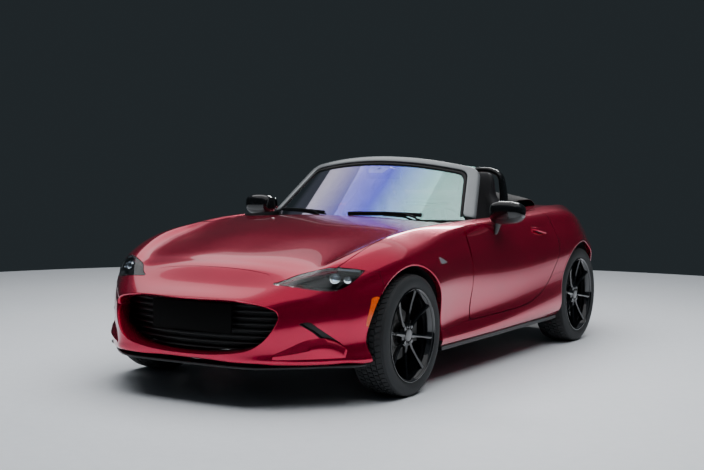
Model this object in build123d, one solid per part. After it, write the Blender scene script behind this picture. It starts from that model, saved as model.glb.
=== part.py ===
from build123d import *
from math import cos, radians, sin, sqrt
import os

# Two-seat open car. +X is the car's left, -Y its front, +Z up. The origin is on the ground,
# under the middle of its length. Millimetres.

# Driving dimensions
wheelbase = 2310
front_overhang = 765
track_front = 1495
track_rear = 1505
tyre_radius = 308
tyre_width = 205
rim_radius = 236
rim_width = 194
spoke_count = 8
hub_bolt_circle = 100
hub_bolt_count = 4
arch_radius = 345
arch_height = 318          # centre of the wheel openings above the ground
house_radius = 373         # wheel housing behind the lip of the opening
house_inner_x = 468
house_lip_x = 735
fixed_gap = 0.6            # between panels that are bolted together
moving_gap = 5             # round doors, lids and wheels
seat_fit = 0.3             # where one piece rests on another
pin_fit = 0.3              # radial clearance round a pin

# Body sections, behind the nose. zc is the middle of the top, then come points of one half:
# 2 edge of the bonnet or deck, 3 crown of the wing, 4 shoulder, 5 widest place, 6 lower side,
# 7 crease above the sill, 8 edge of the underside.
section_columns = "station zc x2 z2 x3 z3 x4 z4 x5 z5 x6 z6 x7 z7 x8 z8"
body_sections = [
    (0, 490, 130, 486, 190, 478, 240, 460, 262, 430, 265, 340, 255, 270, 235, 235),
    (25, 515, 250, 509, 320, 500, 375, 478, 398, 430, 402, 340, 396, 262, 375, 225),
    (80, 541, 330, 534, 410, 524, 460, 498, 480, 445, 486, 350, 482, 262, 455, 215),
    (160, 580, 400, 572, 480, 562, 535, 530, 562, 465, 568, 360, 566, 262, 540, 210),
    (260, 643, 460, 622, 560, 612, 615, 560, 650, 485, 656, 370, 654, 268, 630, 207),
    (330, 672, 490, 650, 590, 650, 665, 605, 706, 505, 714, 380, 712, 275, 690, 205),
    (420, 702, 520, 680, 620, 690, 720, 640, 770, 530, 778, 390, 776, 280, 755, 203),
    (600, 745, 560, 722, 655, 748, 775, 700, 838, 580, 842, 410, 834, 285, 795, 203),
    (765, 780, 585, 752, 665, 785, 785, 735, 860, 610, 860, 420, 845, 290, 795, 200),
    (950, 808, 605, 782, 670, 808, 785, 755, 850, 630, 850, 430, 838, 295, 793, 198),
    (1250, 842, 635, 820, 690, 832, 770, 795, 828, 660, 828, 440, 822, 300, 790, 195),
    (1700, 862, 650, 840, 700, 845, 758, 822, 815, 680, 826, 460, 822, 315, 790, 190),
    (2200, 860, 650, 845, 700, 850, 760, 830, 820, 690, 836, 480, 836, 340, 790, 190),
    (2600, 868, 640, 866, 690, 870, 765, 845, 838, 710, 856, 530, 852, 380, 798, 193),
    (2850, 882, 620, 880, 680, 884, 775, 852, 853, 710, 867, 570, 860, 410, 800, 198),
    (3075, 885, 600, 881, 670, 884, 775, 845, 860, 700, 868, 585, 862, 440, 800, 210),
    (3300, 878, 570, 874, 640, 872, 728, 802, 800, 690, 846, 575, 838, 430, 790, 235),
    (3500, 862, 530, 855, 600, 845, 670, 785, 730, 680, 768, 560, 760, 420, 715, 265),
    (3700, 838, 450, 828, 520, 815, 580, 755, 620, 665, 645, 550, 638, 420, 600, 305),
    (3840, 812, 330, 802, 380, 790, 430, 735, 465, 655, 480, 545, 475, 430, 445, 335),
    (3915, 740, 160, 735, 200, 725, 225, 700, 240, 650, 245, 550, 242, 450, 230, 380),
]
length = body_sections[-1][0]

# Places along the body, behind the nose
bonnet_nose = 262
bonnet_rear = (640, 1450)        # x, station
bonnet_side = [(662, 1100), (668, 760), (648, 460), (630, 374), (545, 326), (464, 264), (397, 196), (316, 248)]
wing_split = 525                 # where the bumper cover meets the wheel opening
wing_split_height = 641
wing_front = 350                 # the wing's point over the lamp
wing_front_height = 646
door_front = 1482
firewall_station = 1440
bulkhead_station = 2575
deck_front = 2620
stack_station = (2652, 3044)
lid_front = 3110
lid_rear = 3880
tail_split = 3425
tail_split_height = 640
stack_half_width = 555
deck_half_width = 600
lid_half_width = (470, 330)      # at its front and at the tail
door_inner_x = 706


def at(station):
    return station - length / 2


front_axle = at(front_overhang)
rear_axle = front_axle + wheelbase


# Shapes

def block(x, y, z):
    return Solid.make_box(x[1] - x[0], y[1] - y[0], z[1] - z[0], Plane((x[0], y[0], z[0])))


def rod(start, end, radius):
    way = Vector(*end) - Vector(*start)
    return Solid.make_cylinder(radius, way.length, Plane(start, z_dir=way))


def wire_of(points):
    """Straight edges between 3-D points; a point given as ("via", p) makes an arc through p."""
    edges = []
    path = points + [points[0]]
    index = 0
    while index < len(path) - 1:
        start = Vector(*path[index])
        if path[index + 1][0] == "via":
            edges.append(Edge.make_three_point_arc(start, Vector(*path[index + 1][1]), Vector(*path[index + 2])))
            index += 2
        else:
            edges.append(Edge.make_line(start, Vector(*path[index + 1])))
            index += 1
    return Wire(edges)


def prism(points, place, way):
    """Solid of a flat outline: place turns an outline point into 3-D, way is the extrusion."""
    spots = [("via", place(p[1])) if p[0] == "via" else place(p) for p in points]
    return Solid.extrude(Face(wire_of(spots)), Vector(*way))


def side_prism(points, x):
    return prism(points, lambda p: (x[0], p[0], p[1]), (x[1] - x[0], 0, 0))


def plan_prism(points, z):
    return prism(points, lambda p: (p[0], p[1], z[0]), (0, 0, z[1] - z[0]))


def front_prism(points, y):
    return prism(points, lambda p: (p[0], y[0], p[1]), (0, y[1] - y[0], 0))


def mirrored(shape):
    return shape.mirror(Plane.YZ)


def both(shape):
    return [shape, mirrored(shape)]


def largest(shape):
    return sorted(shape.solids(), key=lambda s: s.volume)[-1]


def join(shapes):
    whole = shapes[0]
    for shape in shapes[1:]:
        whole = whole + shape
    return whole


def cut(shape, tools):
    for tool in tools:
        shape = shape - tool
    return shape


nodes = {}


def keep(name, shapes):
    solids = [s for shape in (shapes if isinstance(shapes, list) else [shapes]) for s in shape.solids()]
    nodes[name] = Compound(solids) if len(solids) > 1 else solids[0]


# Master shape of the body, and the room inside its panels

def section(row):
    g = dict(zip(section_columns.split(), row))
    y = at(g["station"])

    def spot(number, side=1):
        return Vector(side * g[f"x{number}"], y, g[f"z{number}"])

    edges = [Edge.make_three_point_arc(spot(2, -1), Vector(0, y, g["zc"]), spot(2))]
    for side in (1, -1):
        edges += [
            Edge.make_three_point_arc(spot(2, side), spot(3, side), spot(4, side)),
            Edge.make_three_point_arc(spot(4, side), spot(5, side), spot(6, side)),
            Edge.make_line(spot(6, side), spot(7, side)),
            Edge.make_line(spot(7, side), spot(8, side)),
        ]
    edges.append(Edge.make_line(spot(8), spot(8, -1)))
    return Wire(edges)


hull = Solid.make_loft([section(row) for row in body_sections])


def height(station, column="zc"):
    """Height of a column of the section table at a station, straight between sections."""
    place = section_columns.split().index(column)
    for a, b in zip(body_sections, body_sections[1:]):
        if a[0] <= station <= b[0]:
            return a[place] + (b[place] - a[place]) * (station - a[0]) / (b[0] - a[0])
    return body_sections[-1][place]


def under_line(stations, drop, column="zc", floor=100):
    """Side outline from the floor up to a line that runs below the top of the body."""
    top = [(at(s), height(s, column) - drop) for s in stations]
    return [(top[0][0], floor)] + top + [(top[-1][0], floor)]


inner_plan = [(0, at(55)), (300, at(62)), (430, at(135)), (520, at(225)), (610, at(335)), (680, at(430)),
              (745, at(560)), (785, at(700)), (785, at(3150)), (700, at(3400)), (600, at(3600)),
              (470, at(3780)), (300, at(3850)), (0, at(3865))]
inner_outline = inner_plan + [(-x, y) for x, y in reversed(inner_plan[1:-1])]
room_mid = plan_prism(inner_outline, (100, 1000)) & side_prism(
    under_line([40, 80, 160, 260, 420, 600, 765, 950, 1250, 1700, 2600, 3300, 3700, 3870], 60), (-560, 560))
room_side = plan_prism(inner_outline, (100, 1000)) & side_prism(
    under_line([200, 330, 420, 600, 765, 950, 1250, 1700, 2600, 3075, 3300, 3500, 3700], 70, "z4"), (-790, 790))
room = [room_mid, room_side]


def wheel_opening(y, side):
    lip = rod((side * 700, y, arch_height), (side * 950, y, arch_height), arch_radius)
    house = rod((side * house_inner_x, y, arch_height), (side * house_lip_x, y, arch_height), house_radius)
    return lip + house


openings = [wheel_opening(y, side) for y in (front_axle, rear_axle) for side in (1, -1)]


# Outlines of the panels

def bonnet_outline(grow):
    half_rear, rear = bonnet_rear
    left = [(x + grow * 0.8, at(station) - grow * 0.6) for x, station in bonnet_side]
    return ([(-half_rear - grow, at(rear) + grow), (half_rear + grow, at(rear) + grow)] + left
            + [("via", (0, at(bonnet_nose) - grow))] + [(-x, y) for x, y in reversed(left)])


def lamp_outline(grow):
    return [(394 - grow, 592), (430, 640 + grow), (520, 690 + grow), (600, 674 + grow), (650, 662 + grow),
            (700, 656 + grow), (738 + grow, 650), (730 + grow, 622), (711 + grow, 591), (690, 573 - grow),
            (664, 562 - grow), (565, 570 - grow), (458, 583 - grow), (394 - grow, 586 - grow)]


def door_outline(grow):
    back = at(front_overhang + 1900)
    return [(at(door_front) - grow, 900), (at(door_front) - grow, 309 - grow),
            (at(front_overhang + 1377), 321 - grow), (at(front_overhang + 1716), 394 - grow),
            (at(front_overhang + 1828) + grow, 472 - grow), ("via", (back + 30 + grow, 600)),
            (back + grow, 735), (back - 20 + grow, 900)]


mouth_half = [(470, 480), (489, 452), (489, 423), (470, 377), (442, 336), (405, 304), (350, 278), (248, 260)]
mouth_top = [(-419, 499), (-332, 511), ("via", (0, 514)), (332, 511), (419, 499)]
mouth_middle = 380


def mouth_outline(grow):
    """Lower rim from left to right through the bottom, then the upper rim."""
    wide = 1 + grow / 489
    tall = 1 + grow / 133

    def grown(p):
        return (p[0] * wide, mouth_middle + (p[1] - mouth_middle) * tall)

    low = mouth_half + [("via", (0, 246))] + [(-x, z) for x, z in reversed(mouth_half)]
    return [("via", grown(p[1])) if p[0] == "via" else grown(p) for p in low + mouth_top]


def lid_outline(grow):
    front, rear = lid_half_width
    return [(front + grow, at(lid_front) - grow), (-front - grow, at(lid_front) - grow),
            (-rear - grow, at(lid_rear + 60)), (rear + grow, at(lid_rear + 60))]


crease = [(at(1100), 289), (at(door_front), 307), (at(front_overhang + 1377), 319),
          (at(front_overhang + 1716), 392), (at(front_overhang + 1828), 470), (at(2800), 475)]

bonnet_hole = plan_prism(bonnet_outline(moving_gap), (480, 1000))
lamp_hole = front_prism(lamp_outline(fixed_gap), (at(-10), at(517)))
lamp_holes = both(lamp_hole)
door_holes = both(side_prism(door_outline(moving_gap), (door_inner_x - moving_gap, 1000)))
mouth_hole = front_prism(mouth_outline(0), (at(-30), at(290)))
lid_side_height = 560
lid_hinge_gap = 12
lid_hole = plan_prism(lid_outline(moving_gap), (lid_side_height - moving_gap, 1000))
lid_hole = lid_hole + block((-lid_half_width[0], lid_half_width[0]), (at(lid_front) - lid_hinge_gap, at(lid_front) + 50),
                            (700, 1000))
tail_lamp_hole = front_prism([(355, 640), (355, 735), (500, 745), (600, 720), (600, 650), (500, 630)],
                             (at(3560), at(3960)))
tail_lamp_holes = both(tail_lamp_hole)
marker_outline = [(447, 520), (468, 522), (462, 490), (447, 440), (438, 392), (430, 381), (413, 391), (414, 420),
                  (424, 456), (436, 492)]
marker_hole = side_prism([(at(station), z) for station, z in marker_outline], (640, 900))

# Bonnet, with an ear round each hinge pin

bonnet_pin = (at(bonnet_rear[1]) - 14, 812)   # y, z
bonnet_pin_x = (540, 566)
bonnet_pin_radius = 5
bonnet = hull & plan_prism(bonnet_outline(0), (480, 1000))
bonnet = largest(cut(bonnet, [side_prism(under_line([200, 260, 420, 600, 765, 950, 1250, 1460], 46), (-700, 700))]))
ears = []
for side in (1, -1):
    x0, x1 = sorted((side * (bonnet_pin_x[1] - 14), side * bonnet_pin_x[1]))
    ear = rod((x0, *bonnet_pin), (x1, *bonnet_pin), 12)
    ear = ear + block((x0, x1), (bonnet_pin[0] - 40, bonnet_pin[0]), (bonnet_pin[1] - 12, bonnet_pin[1] + 3))
    ears.append(ear)
bonnet = join([bonnet] + ears)
bonnet = bonnet & hull
lug_half_width = 10
for side in (1, -1):
    lug_x = sorted((side * (bonnet_pin_x[0] - lug_half_width - moving_gap), side * (bonnet_pin_x[1] - 14)))
    bonnet = bonnet - block(lug_x, (bonnet_pin[0] - 18, at(bonnet_rear[1]) + 1), (700, bonnet_pin[1] + 13))
    bonnet = bonnet - rod((side * 500, *bonnet_pin), (side * 600, *bonnet_pin), bonnet_pin_radius + pin_fit)
bonnet = largest(bonnet)
keep("bonnet", bonnet)

# Boot lid: deck piece and the drop down the tail

lid_pin = (at(lid_front) + 9, 866)
lid_pin_x = (410, 436)
lid_pin_radius = 4
lid_depth = 34
lid = hull & plan_prism(lid_outline(0), (lid_side_height, 1000))
lid_room = side_prism([(at(lid_front) - 30, 400), (at(lid_front) - 30, height(3110) - lid_depth),
                       (at(3500), height(3500) - lid_depth), (at(3700), height(3700) - lid_depth),
                       (at(3800), height(3800) - lid_depth - 6), (at(3868), 720), (at(3868), 400)], (-600, 600))
lid = largest(lid - lid_room)
lid_ears = []
for side in (1, -1):
    x0, x1 = sorted((side * (lid_pin_x[1] - 12), side * lid_pin_x[1]))
    lid_ears.append(rod((x0, *lid_pin), (x1, *lid_pin), 9)
                    + block((x0, x1), (lid_pin[0], lid_pin[0] + 30), (lid_pin[1] - 18, lid_pin[1])))
lid = join([lid] + lid_ears) & hull
lid_slots = [block(sorted((side * (lid_pin_x[0] - 16), side * (lid_pin_x[1] - 12))),
                   (at(lid_front) - 1, at(lid_front) + 26), (800, 900)) for side in (1, -1)]
lid = largest(cut(lid, [rod((side * 380, *lid_pin), (side * 460, *lid_pin), lid_pin_radius + pin_fit)
                        for side in (1, -1)] + lid_slots))
keep("boot_lid", lid)

# Doors: as thick as the door, with pockets for the hinge lugs and a bore round each pin

hinge_x = 800
hinge_y = at(door_front) + 38
hinge_heights = (420, 640)
hinge_pin_radius = 7
hinge_half_height = 12
door = hull & side_prism(door_outline(0), (door_inner_x, 1000))
door = cut(door, [block((600, 770), (at(2640), at(2760)), (250, 1000))])
door_corner_x = 834        # front outer corner of the door, which swings past the wing
corner_gap = 4
hinge_swing = sqrt((door_corner_x - hinge_x) ** 2 + (hinge_y - at(door_front)) ** 2) + corner_gap
for z in hinge_heights:
    door = door - block((690, hinge_x + 20), (at(door_front) - 20, hinge_y + 20),
                        (z - hinge_half_height - moving_gap, z + hinge_half_height + moving_gap))
    door = door - rod((hinge_x, hinge_y, z - 42), (hinge_x, hinge_y, z + 42), hinge_pin_radius + pin_fit)
door = largest(door)
keep("door_left", door)
keep("door_right", mirrored(door))
hinge_sweep = both(rod((hinge_x, hinge_y, 250), (hinge_x, hinge_y, 1000), hinge_swing))

# Front wings, rear quarters and sills

wing = hull & side_prism([(at(wing_front), wing_front_height), (at(wing_split), wing_split_height),
                          (at(wing_split), 100), (at(1110), 100), (at(1110), 289 + fixed_gap),
                          (at(door_front) - moving_gap, 307 + fixed_gap), (at(door_front) - moving_gap, 900),
                          (at(wing_front), 900)], (560, 1000))
scuttle_corner = block((600, 690), (at(bonnet_rear[1]) + moving_gap, at(1600)), (700, 1000))
wing = cut(wing, [bonnet_hole, lamp_hole, scuttle_corner, openings[0], hinge_sweep[0]] + room)
wing = wing - block((0, 1000), (at(300), front_axle), (0, 500))
wing = wing - block((0, 1000), (front_axle - 1, crease[0][0] + 11), (0, crease[0][1] + fixed_gap))
keep("front_wings", both(largest(wing)))

quarter_front = at(bulkhead_station + 1)
quarter = hull & side_prism([(quarter_front, 100), (quarter_front, 900), (at(3700), 900), (at(3700), 650),
                             (at(tail_split), tail_split_height + fixed_gap), (at(tail_split) - 2, 100)], (320, 1000))
below_crease = side_prism([(crease[0][0], 0)] + [(y, z + fixed_gap) for y, z in crease] + [(crease[-1][0], 0)],
                          (500, 1000))
deck_side = deck_half_width + fixed_gap
deck_rear = at(lid_front) - lid_hinge_gap
quarter = cut(quarter, [block((0, deck_side), (at(2500), deck_rear + fixed_gap), (600, 1000)), lid_hole, door_holes[0],
                        tail_lamp_hole, below_crease, openings[2]] + room)
quarter = quarter - block((0, 1000), (at(2900), at(3300)), (0, 400))
keep("rear_quarters", both(largest(quarter)))

sill_inner_x = 700
sill = hull & side_prism([(at(1000), 0)] + [(y, z) for y, z in crease] + [(crease[-1][0], 0)], (sill_inner_x, 1000))
sill = cut(sill, [openings[0], openings[2], door_holes[0]])
keep("sills", both(largest(sill)))

# Front bumper cover, lamps, mouth

splitter_top = 208
bumper = hull & block((-1000, 1000), (at(-10), at(wing_split) - fixed_gap), (splitter_top, 1000))
above_split = side_prism([(at(wing_front) - fixed_gap, wing_front_height - fixed_gap),
                          (at(560), wing_split_height - 1 - fixed_gap), (at(560), 900),
                          (at(wing_front) - fixed_gap, 900)], (-1000, 1000))
bumper = cut(bumper, [above_split, bonnet_hole, mouth_hole] + lamp_holes + room + openings[:2])
bumper = largest(bumper)
marker = cut(hull & marker_hole, [room_side, openings[0]])
marker = largest(marker)
bumper = largest(cut(bumper, both(marker_hole)))
keep("front_bumper", bumper)

lamp = hull & front_prism(lamp_outline(0), (at(-10), at(510)))
lamp = cut(lamp, [bonnet_hole, openings[0]] + room)
keep("front_lamps", both(largest(lamp)) + both(marker))

mouth_arc_depth = 150
bar_depth = 26


def mouth_band(front, back, z):
    """Plan band behind the mouth, curved like the nose."""
    half = 540
    return plan_prism([(half, at(front + mouth_arc_depth)), ("via", (0, at(front))), (-half, at(front + mouth_arc_depth)),
                       (-half, at(back + mouth_arc_depth)), ("via", (0, at(back))), (half, at(back + mouth_arc_depth))], z)


mouth_fill = front_prism(mouth_outline(-fixed_gap), (at(-30), at(290)))
mouth_clear = front_prism(mouth_outline(-14), (at(-30), at(290)))
mouth_frame = (mouth_band(40, 66, (200, 560)) & mouth_fill) - mouth_clear
bar_pitch = 38
bar_height = 11
bars = [mouth_band(44, 44 + bar_depth, (z, z + bar_height)) & mouth_fill
        for z in range(268, 490, bar_pitch)]
grille = join([mouth_frame] + bars)
keep("grille", largest(grille & hull))

splitter_outline = [(0, at(-4)), (235, at(2)), (380, at(26)), (470, at(84)), (560, at(165)), (650, at(262)),
                    (745, at(335)), (775, at(420)), (640, at(420)), (560, at(330)), (400, at(190)), (0, at(100))]
splitter = plan_prism(splitter_outline + [(-x, y) for x, y in reversed(splitter_outline[1:-1])],
                      (188, splitter_top - fixed_gap))
keep("front_splitter", splitter)

# Rear bumper cover and tail lamps

bumper_rear = hull & block((-1000, 1000), (at(tail_split), at(3990)), (100, 1000))
upper_tail = side_prism([(at(3300), tail_split_height), (at(tail_split), tail_split_height),
                         (at(3700) + fixed_gap, 650 - fixed_gap), (at(3700) + fixed_gap, 1000), (at(3300), 1000)],
                        (-1000, 1000))
rear_recess = block((-268, 268), (at(3880), at(3990)), (418, 546))
bumper_rear = cut(bumper_rear, [upper_tail, lid_hole, rear_recess]
                  + tail_lamp_holes + room + openings[2:])
under_tail = block((-560, 560), (at(3400), at(3830)), (100, 420))
bumper_rear = largest(bumper_rear - under_tail)
keep("rear_bumper", bumper_rear)
tail_lamp = (hull & front_prism([(355 + fixed_gap, 640 + fixed_gap), (355 + fixed_gap, 735 - fixed_gap),
                                 (500, 745 - fixed_gap), (600 - fixed_gap, 720 - fixed_gap),
                                 (600 - fixed_gap, 650 + fixed_gap), (500, 630 + fixed_gap)],
                                (at(3560), at(3960))))
tail_lamp = largest(cut(tail_lamp, [lid_hole] + room))
keep("tail_lamps", both(tail_lamp))

# Chassis: floor, tunnel, rails, firewall, posts, bulkhead, boot floor

floor_bottom = 160
floor_top = 186
tunnel_half = 128
tunnel_top = 340
tub_half = sill_inner_x - seat_fit
rail_x = (300, 350)
rail_z = (330, 420)
firewall_y = at(firewall_station)
bulkhead_y = at(bulkhead_station)
post_x = 742
post_top = 690
scuttle_top = 803.7
rear_post_top = 760
beam_z = (490, 545)
pieces = []
for side in (1, -1):
    def sided(lo, hi):
        return tuple(sorted((side * lo, side * hi)))
    pieces += [
        block(sided(tunnel_half - 14, tub_half), (firewall_y, bulkhead_y + 28), (floor_bottom, floor_top)),
        block(sided(tunnel_half - 14, tunnel_half), (firewall_y, bulkhead_y), (floor_bottom, tunnel_top)),
        block(sided(648, tub_half), (firewall_y, at(2700)), (floor_bottom, 286)),
        block(sided(*rail_x), (at(238), firewall_y + 10), rail_z),
        block(sided(*rail_x), (at(217), at(257)), (rail_z[0], beam_z[1])),
        block(sided(600, tub_half), (firewall_y, firewall_y + 25), (286, post_top)),
        block(sided(600, post_x), (firewall_y, firewall_y + 25), (316, post_top)),
        block(sided(600, 690), (firewall_y, at(1530)), (560, post_top)),
        block(sided(641, 690), (at(1500), at(1790)), (post_top - 30, scuttle_top)),
        block(sided(640, 780), (at(2716), at(2746)), (500, rear_post_top)),
        block(sided(600, 660), (bulkhead_y, at(2746)), (floor_bottom, rear_post_top)),
        block(sided(470, 545), (bulkhead_y + 20, at(3640)), (345, 420)),
    ]
    for z in hinge_heights:
        lug_z = (z - hinge_half_height, z + hinge_half_height)
        pieces += [
            block(sided(post_x - 22, post_x), (firewall_y + 20, hinge_y + 10), lug_z),
            block(sided(post_x - 10, hinge_x), (hinge_y - 10, hinge_y + 10), lug_z),
            rod((side * hinge_x, hinge_y, lug_z[0]), (side * hinge_x, hinge_y, lug_z[1]), 12),
            rod((side * hinge_x, hinge_y, z - 38), (side * hinge_x, hinge_y, z + 38), hinge_pin_radius),
        ]
    inner, outer = bonnet_pin_x
    pieces += [
        block(sided(inner - lug_half_width, inner + 7), (bonnet_pin[0] - 8, firewall_y + 20), (760, bonnet_pin[1] - 11)),
        block(sided(inner - lug_half_width, inner + 7), (bonnet_pin[0] - 8, bonnet_pin[0] + 8), (780, bonnet_pin[1])),
        rod((side * (inner - lug_half_width), *bonnet_pin), (side * (inner + 7), *bonnet_pin), 8),
        rod((side * (inner + 6), *bonnet_pin), (side * (outer - 1), *bonnet_pin), bonnet_pin_radius),
    ]
pieces += [
    block((-tunnel_half, tunnel_half), (firewall_y, bulkhead_y), (tunnel_top - 14, tunnel_top)),
    block((-640, 640), (firewall_y, firewall_y + 25), (floor_bottom, 790))
    - block((-tunnel_half + 14, tunnel_half - 14), (firewall_y - 1, firewall_y + 26), (100, tunnel_top - 14)),
    block((-599, 599), (bulkhead_y, bulkhead_y + 28), (rear_post_top - 1, 840)),
    block((-640, 640), (bulkhead_y, bulkhead_y + 28), (floor_bottom, rear_post_top))
    - block((-tunnel_half + 14, tunnel_half - 14), (bulkhead_y - 1, bulkhead_y + 29), (100, tunnel_top - 14)),
    block((-480, 480), (at(217), at(257)), beam_z),
    block((-480, 480), (bulkhead_y + 20, at(3740)), (400, 420)),
    block((-400, 400), (at(3735), at(3800)), (400, 520)),
    block((-480, 480), (at(3060), at(3080)), (400, 790)),
]
tub = join(pieces)
keep("floor_tub", largest(tub))
nodes_tub = nodes["floor_tub"]

# Cowl plate under the wipers, dashboard, console

glass_low = (843, 1519, 620, 226)     # height, middle station, half width and its set-back
glass_high = (1180, 1985, 480, 137)


def set_back(line, x):
    z, station, half, sag = line
    radius = (half ** 2 + sag ** 2) / (2 * sag)
    return station + radius - sqrt(radius ** 2 - x ** 2)


def glass_arc(line, half, shift):
    return [(half, at(set_back(line, half) + shift)), ("via", (0, at(line[1] + shift))),
            (-half, at(set_back(line, half) + shift))]


cowl_half = 636
cowl_front = bonnet_rear[1] + 16
foot_shift = (-12, 28)
cowl_back = foot_shift[0] - fixed_gap
cowl_plan = [(cowl_half, at(cowl_front)), (cowl_half, at(set_back(glass_low, cowl_half) + cowl_back)),
             ("via", (0, at(glass_low[1] + cowl_back))), (-cowl_half, at(set_back(glass_low, cowl_half) + cowl_back)),
             (-cowl_half, at(cowl_front))]
cowl_z = (790.6, 812)
cowl = plan_prism(cowl_plan, cowl_z)
keep("cowl_panel", largest(cowl))

dash_side = [(at(1580), 690), (at(1580), 785), (at(1745), 788), (at(1960), 796), (at(1990), 770), (at(1985), 700),
             (at(1940), 620), (at(1800), 590), (at(1600), 600)]
dash = side_prism(dash_side, (-597, 597))
column_tilt = radians(22)
wheel_x = 350
wheel_y = at(2120)
wheel_z = 735
column_way = (0, cos(column_tilt), sin(column_tilt))
hub_spot = Vector(wheel_x, wheel_y, wheel_z)
column_end = hub_spot - Vector(*column_way) * 42
column_start = hub_spot - Vector(*column_way) * 260
column = rod(tuple(column_start), tuple(column_end), 38)
column_pin = rod(tuple(column_end), tuple(hub_spot - Vector(*column_way) * 8), 10)
dash_foot = [block(sorted((side * 560, side * 597)), (firewall_y + 25 + seat_fit, at(1700)), (620, 699)) for side in (1, -1)]
keep("dashboard", largest(join([dash, column, column_pin] + dash_foot)))

console_side = [(at(1760), tunnel_top + seat_fit), (at(1760), 600), (at(1800), 589), (at(1880), 520), (at(2060), 440),
                (at(2480), 430), (at(2540), 470), (at(2566), 470), (at(2566), tunnel_top + seat_fit)]
console = side_prism(console_side, (-95, 95)) - dash
lever = rod((0, at(2080), 430), (0, at(2070), 530), 9) + Solid.make_sphere(22, Plane((0, at(2070), 540)))
brake = rod((60, at(2380), 440), (60, at(2200), 505), 12)
keep("centre_console", largest(join([largest(console), lever, brake])))

# Windscreen frame and glass

frame_depth = 46
glass_depth = 8
frame_side = (690, 838, 558, 1122)    # outer half width and height, low and high
frame_top = 1188
opening_side = (628, 850, 506, 1100)
opening_top = 1152


def screen_sheet(half_low, half_high, front, back):
    low, high = [[(x, y) if x != "via" else ("via", y) for x, y in glass_arc(line, half, front)]
                 + [(x, y) if x != "via" else ("via", y)
                    for x, y in reversed(glass_arc(line, half, back))]
                 for line, half in ((glass_low, half_low), (glass_high, half_high))]
    wires = []
    for line, outline in ((glass_low, low), (glass_high, high)):
        z = line[0]
        wires.append(wire_of([("via", (*p[1], z)) if p[0] == "via" else (*p, z) for p in outline]))
    return Solid.make_loft(wires, True)


def screen_outline(sides, top):
    x0, z0, x1, z1 = sides
    return [(x0, z0), (x1, z1), ("via", (0, top)), (-x1, z1), (-x0, z0)]


screen_reach = (at(1400), at(2400))
opening = front_prism(screen_outline(opening_side, opening_top), screen_reach)
frame_block = screen_sheet(700, 590, -frame_depth / 2, frame_depth / 2)
frame = (frame_block & front_prism(screen_outline(frame_side, frame_top), screen_reach)) - opening
frame_foot_z = (cowl_z[1] - 8, glass_low[0] + 1)
foot_plan = glass_arc(glass_low, 668, foot_shift[0]) + list(reversed(glass_arc(glass_low, 668, foot_shift[1])))
frame_foot = plan_prism(foot_plan, frame_foot_z) - dash
frame = largest(cut(join([frame, frame_foot]), door_holes + [nodes_tub]))
keep("windscreen_frame", frame)
glass = (screen_sheet(700, 590, -glass_depth / 2, glass_depth / 2) & opening) - frame
keep("windscreen_glass", largest(glass))

# Wipers on the cowl, parked along the glass

wiper_pivots = (-170, 430)
wiper_reach = 420
wiper_shift = (-47, -36)
wiper_z = (852, 862)
wiper_band = plan_prism(glass_arc(glass_low, 640, wiper_shift[0]) + list(reversed(glass_arc(glass_low, 640, wiper_shift[1]))),
                        wiper_z)
wipers = []
for x in wiper_pivots:
    pivot_y = at(set_back(glass_low, x) + sum(wiper_shift) / 2)
    post = rod((x, pivot_y, cowl_z[1] + seat_fit), (x, pivot_y, wiper_z[1]), 8)
    wipers.append(largest(post + (wiper_band & block((x - wiper_reach, x), screen_reach, (800, 900)))))
keep("wipers", wipers)

# Seats, hoops, inner mirror

seat_x = 372
cushion_side = [(at(1985), floor_top + seat_fit), (at(1975), 380), (at(2040), 405), (at(2400), 345),
                (at(2470), 250), (at(2470), floor_top + seat_fit)]
back_side = [(at(2385), 335), (at(2455), 930), (at(2478), 1085), (at(2500), 1104), (at(2540), 1096),
             (at(2566), 935), (at(2555), 700), (at(2500), 300)]
seats = []
for side in (1, -1):
    x = side * seat_x
    cushion = side_prism(cushion_side, (x - 240, x + 240))
    back = side_prism(back_side, (x - 235, x + 235))
    back_front = front_prism([(x - 235, 200), (x - 235, 820), (x - 190, 905), (x - 125, 940), (x - 120, 1060),
                              ("via", (x, 1108)), (x + 120, 1060), (x + 125, 940), (x + 190, 905), (x + 235, 820),
                              (x + 235, 200)], (at(2300), at(2600)))
    seats.append(largest(cushion + (back & back_front)))
keep("seats", seats)

hoop_radius = 19
hoop_half = 128
hoop_top = 1135
hoop_y = bulkhead_y + 14
hoop_foot = 840
bend = 90
hoops = []
for side in (1, -1):
    x = side * seat_x
    level = hoop_top - hoop_radius - bend
    hoop = rod((x - hoop_half + bend, hoop_y, level + bend), (x + hoop_half - bend, hoop_y, level + bend), hoop_radius)
    for turn in (-1, 1):
        leg_x = x + turn * hoop_half
        leg = rod((leg_x, hoop_y, hoop_foot + seat_fit), (leg_x, hoop_y, level), hoop_radius)
        ring = Face(Wire.make_circle(hoop_radius, Plane((leg_x, hoop_y, level), z_dir=(0, 0, 1))))
        corner = Solid.revolve(ring, 90, Axis((leg_x - turn * bend, hoop_y, level), (0, -turn, 0)))
        hoop = hoop + leg + corner
    hoops.append(hoop)
keep("roll_hoops", hoops)

inner_mirror = block((-118, 118), (at(1950), at(1975)), (1056, 1116))
inner_mirror = inner_mirror + rod((0, at(1955), 1096), (0, at(1890), 1128), 9)
keep("inner_mirror", largest(inner_mirror - screen_sheet(700, 590, -60, glass_depth / 2)))

# Rear deck round the folded soft top, and the stack itself

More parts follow.
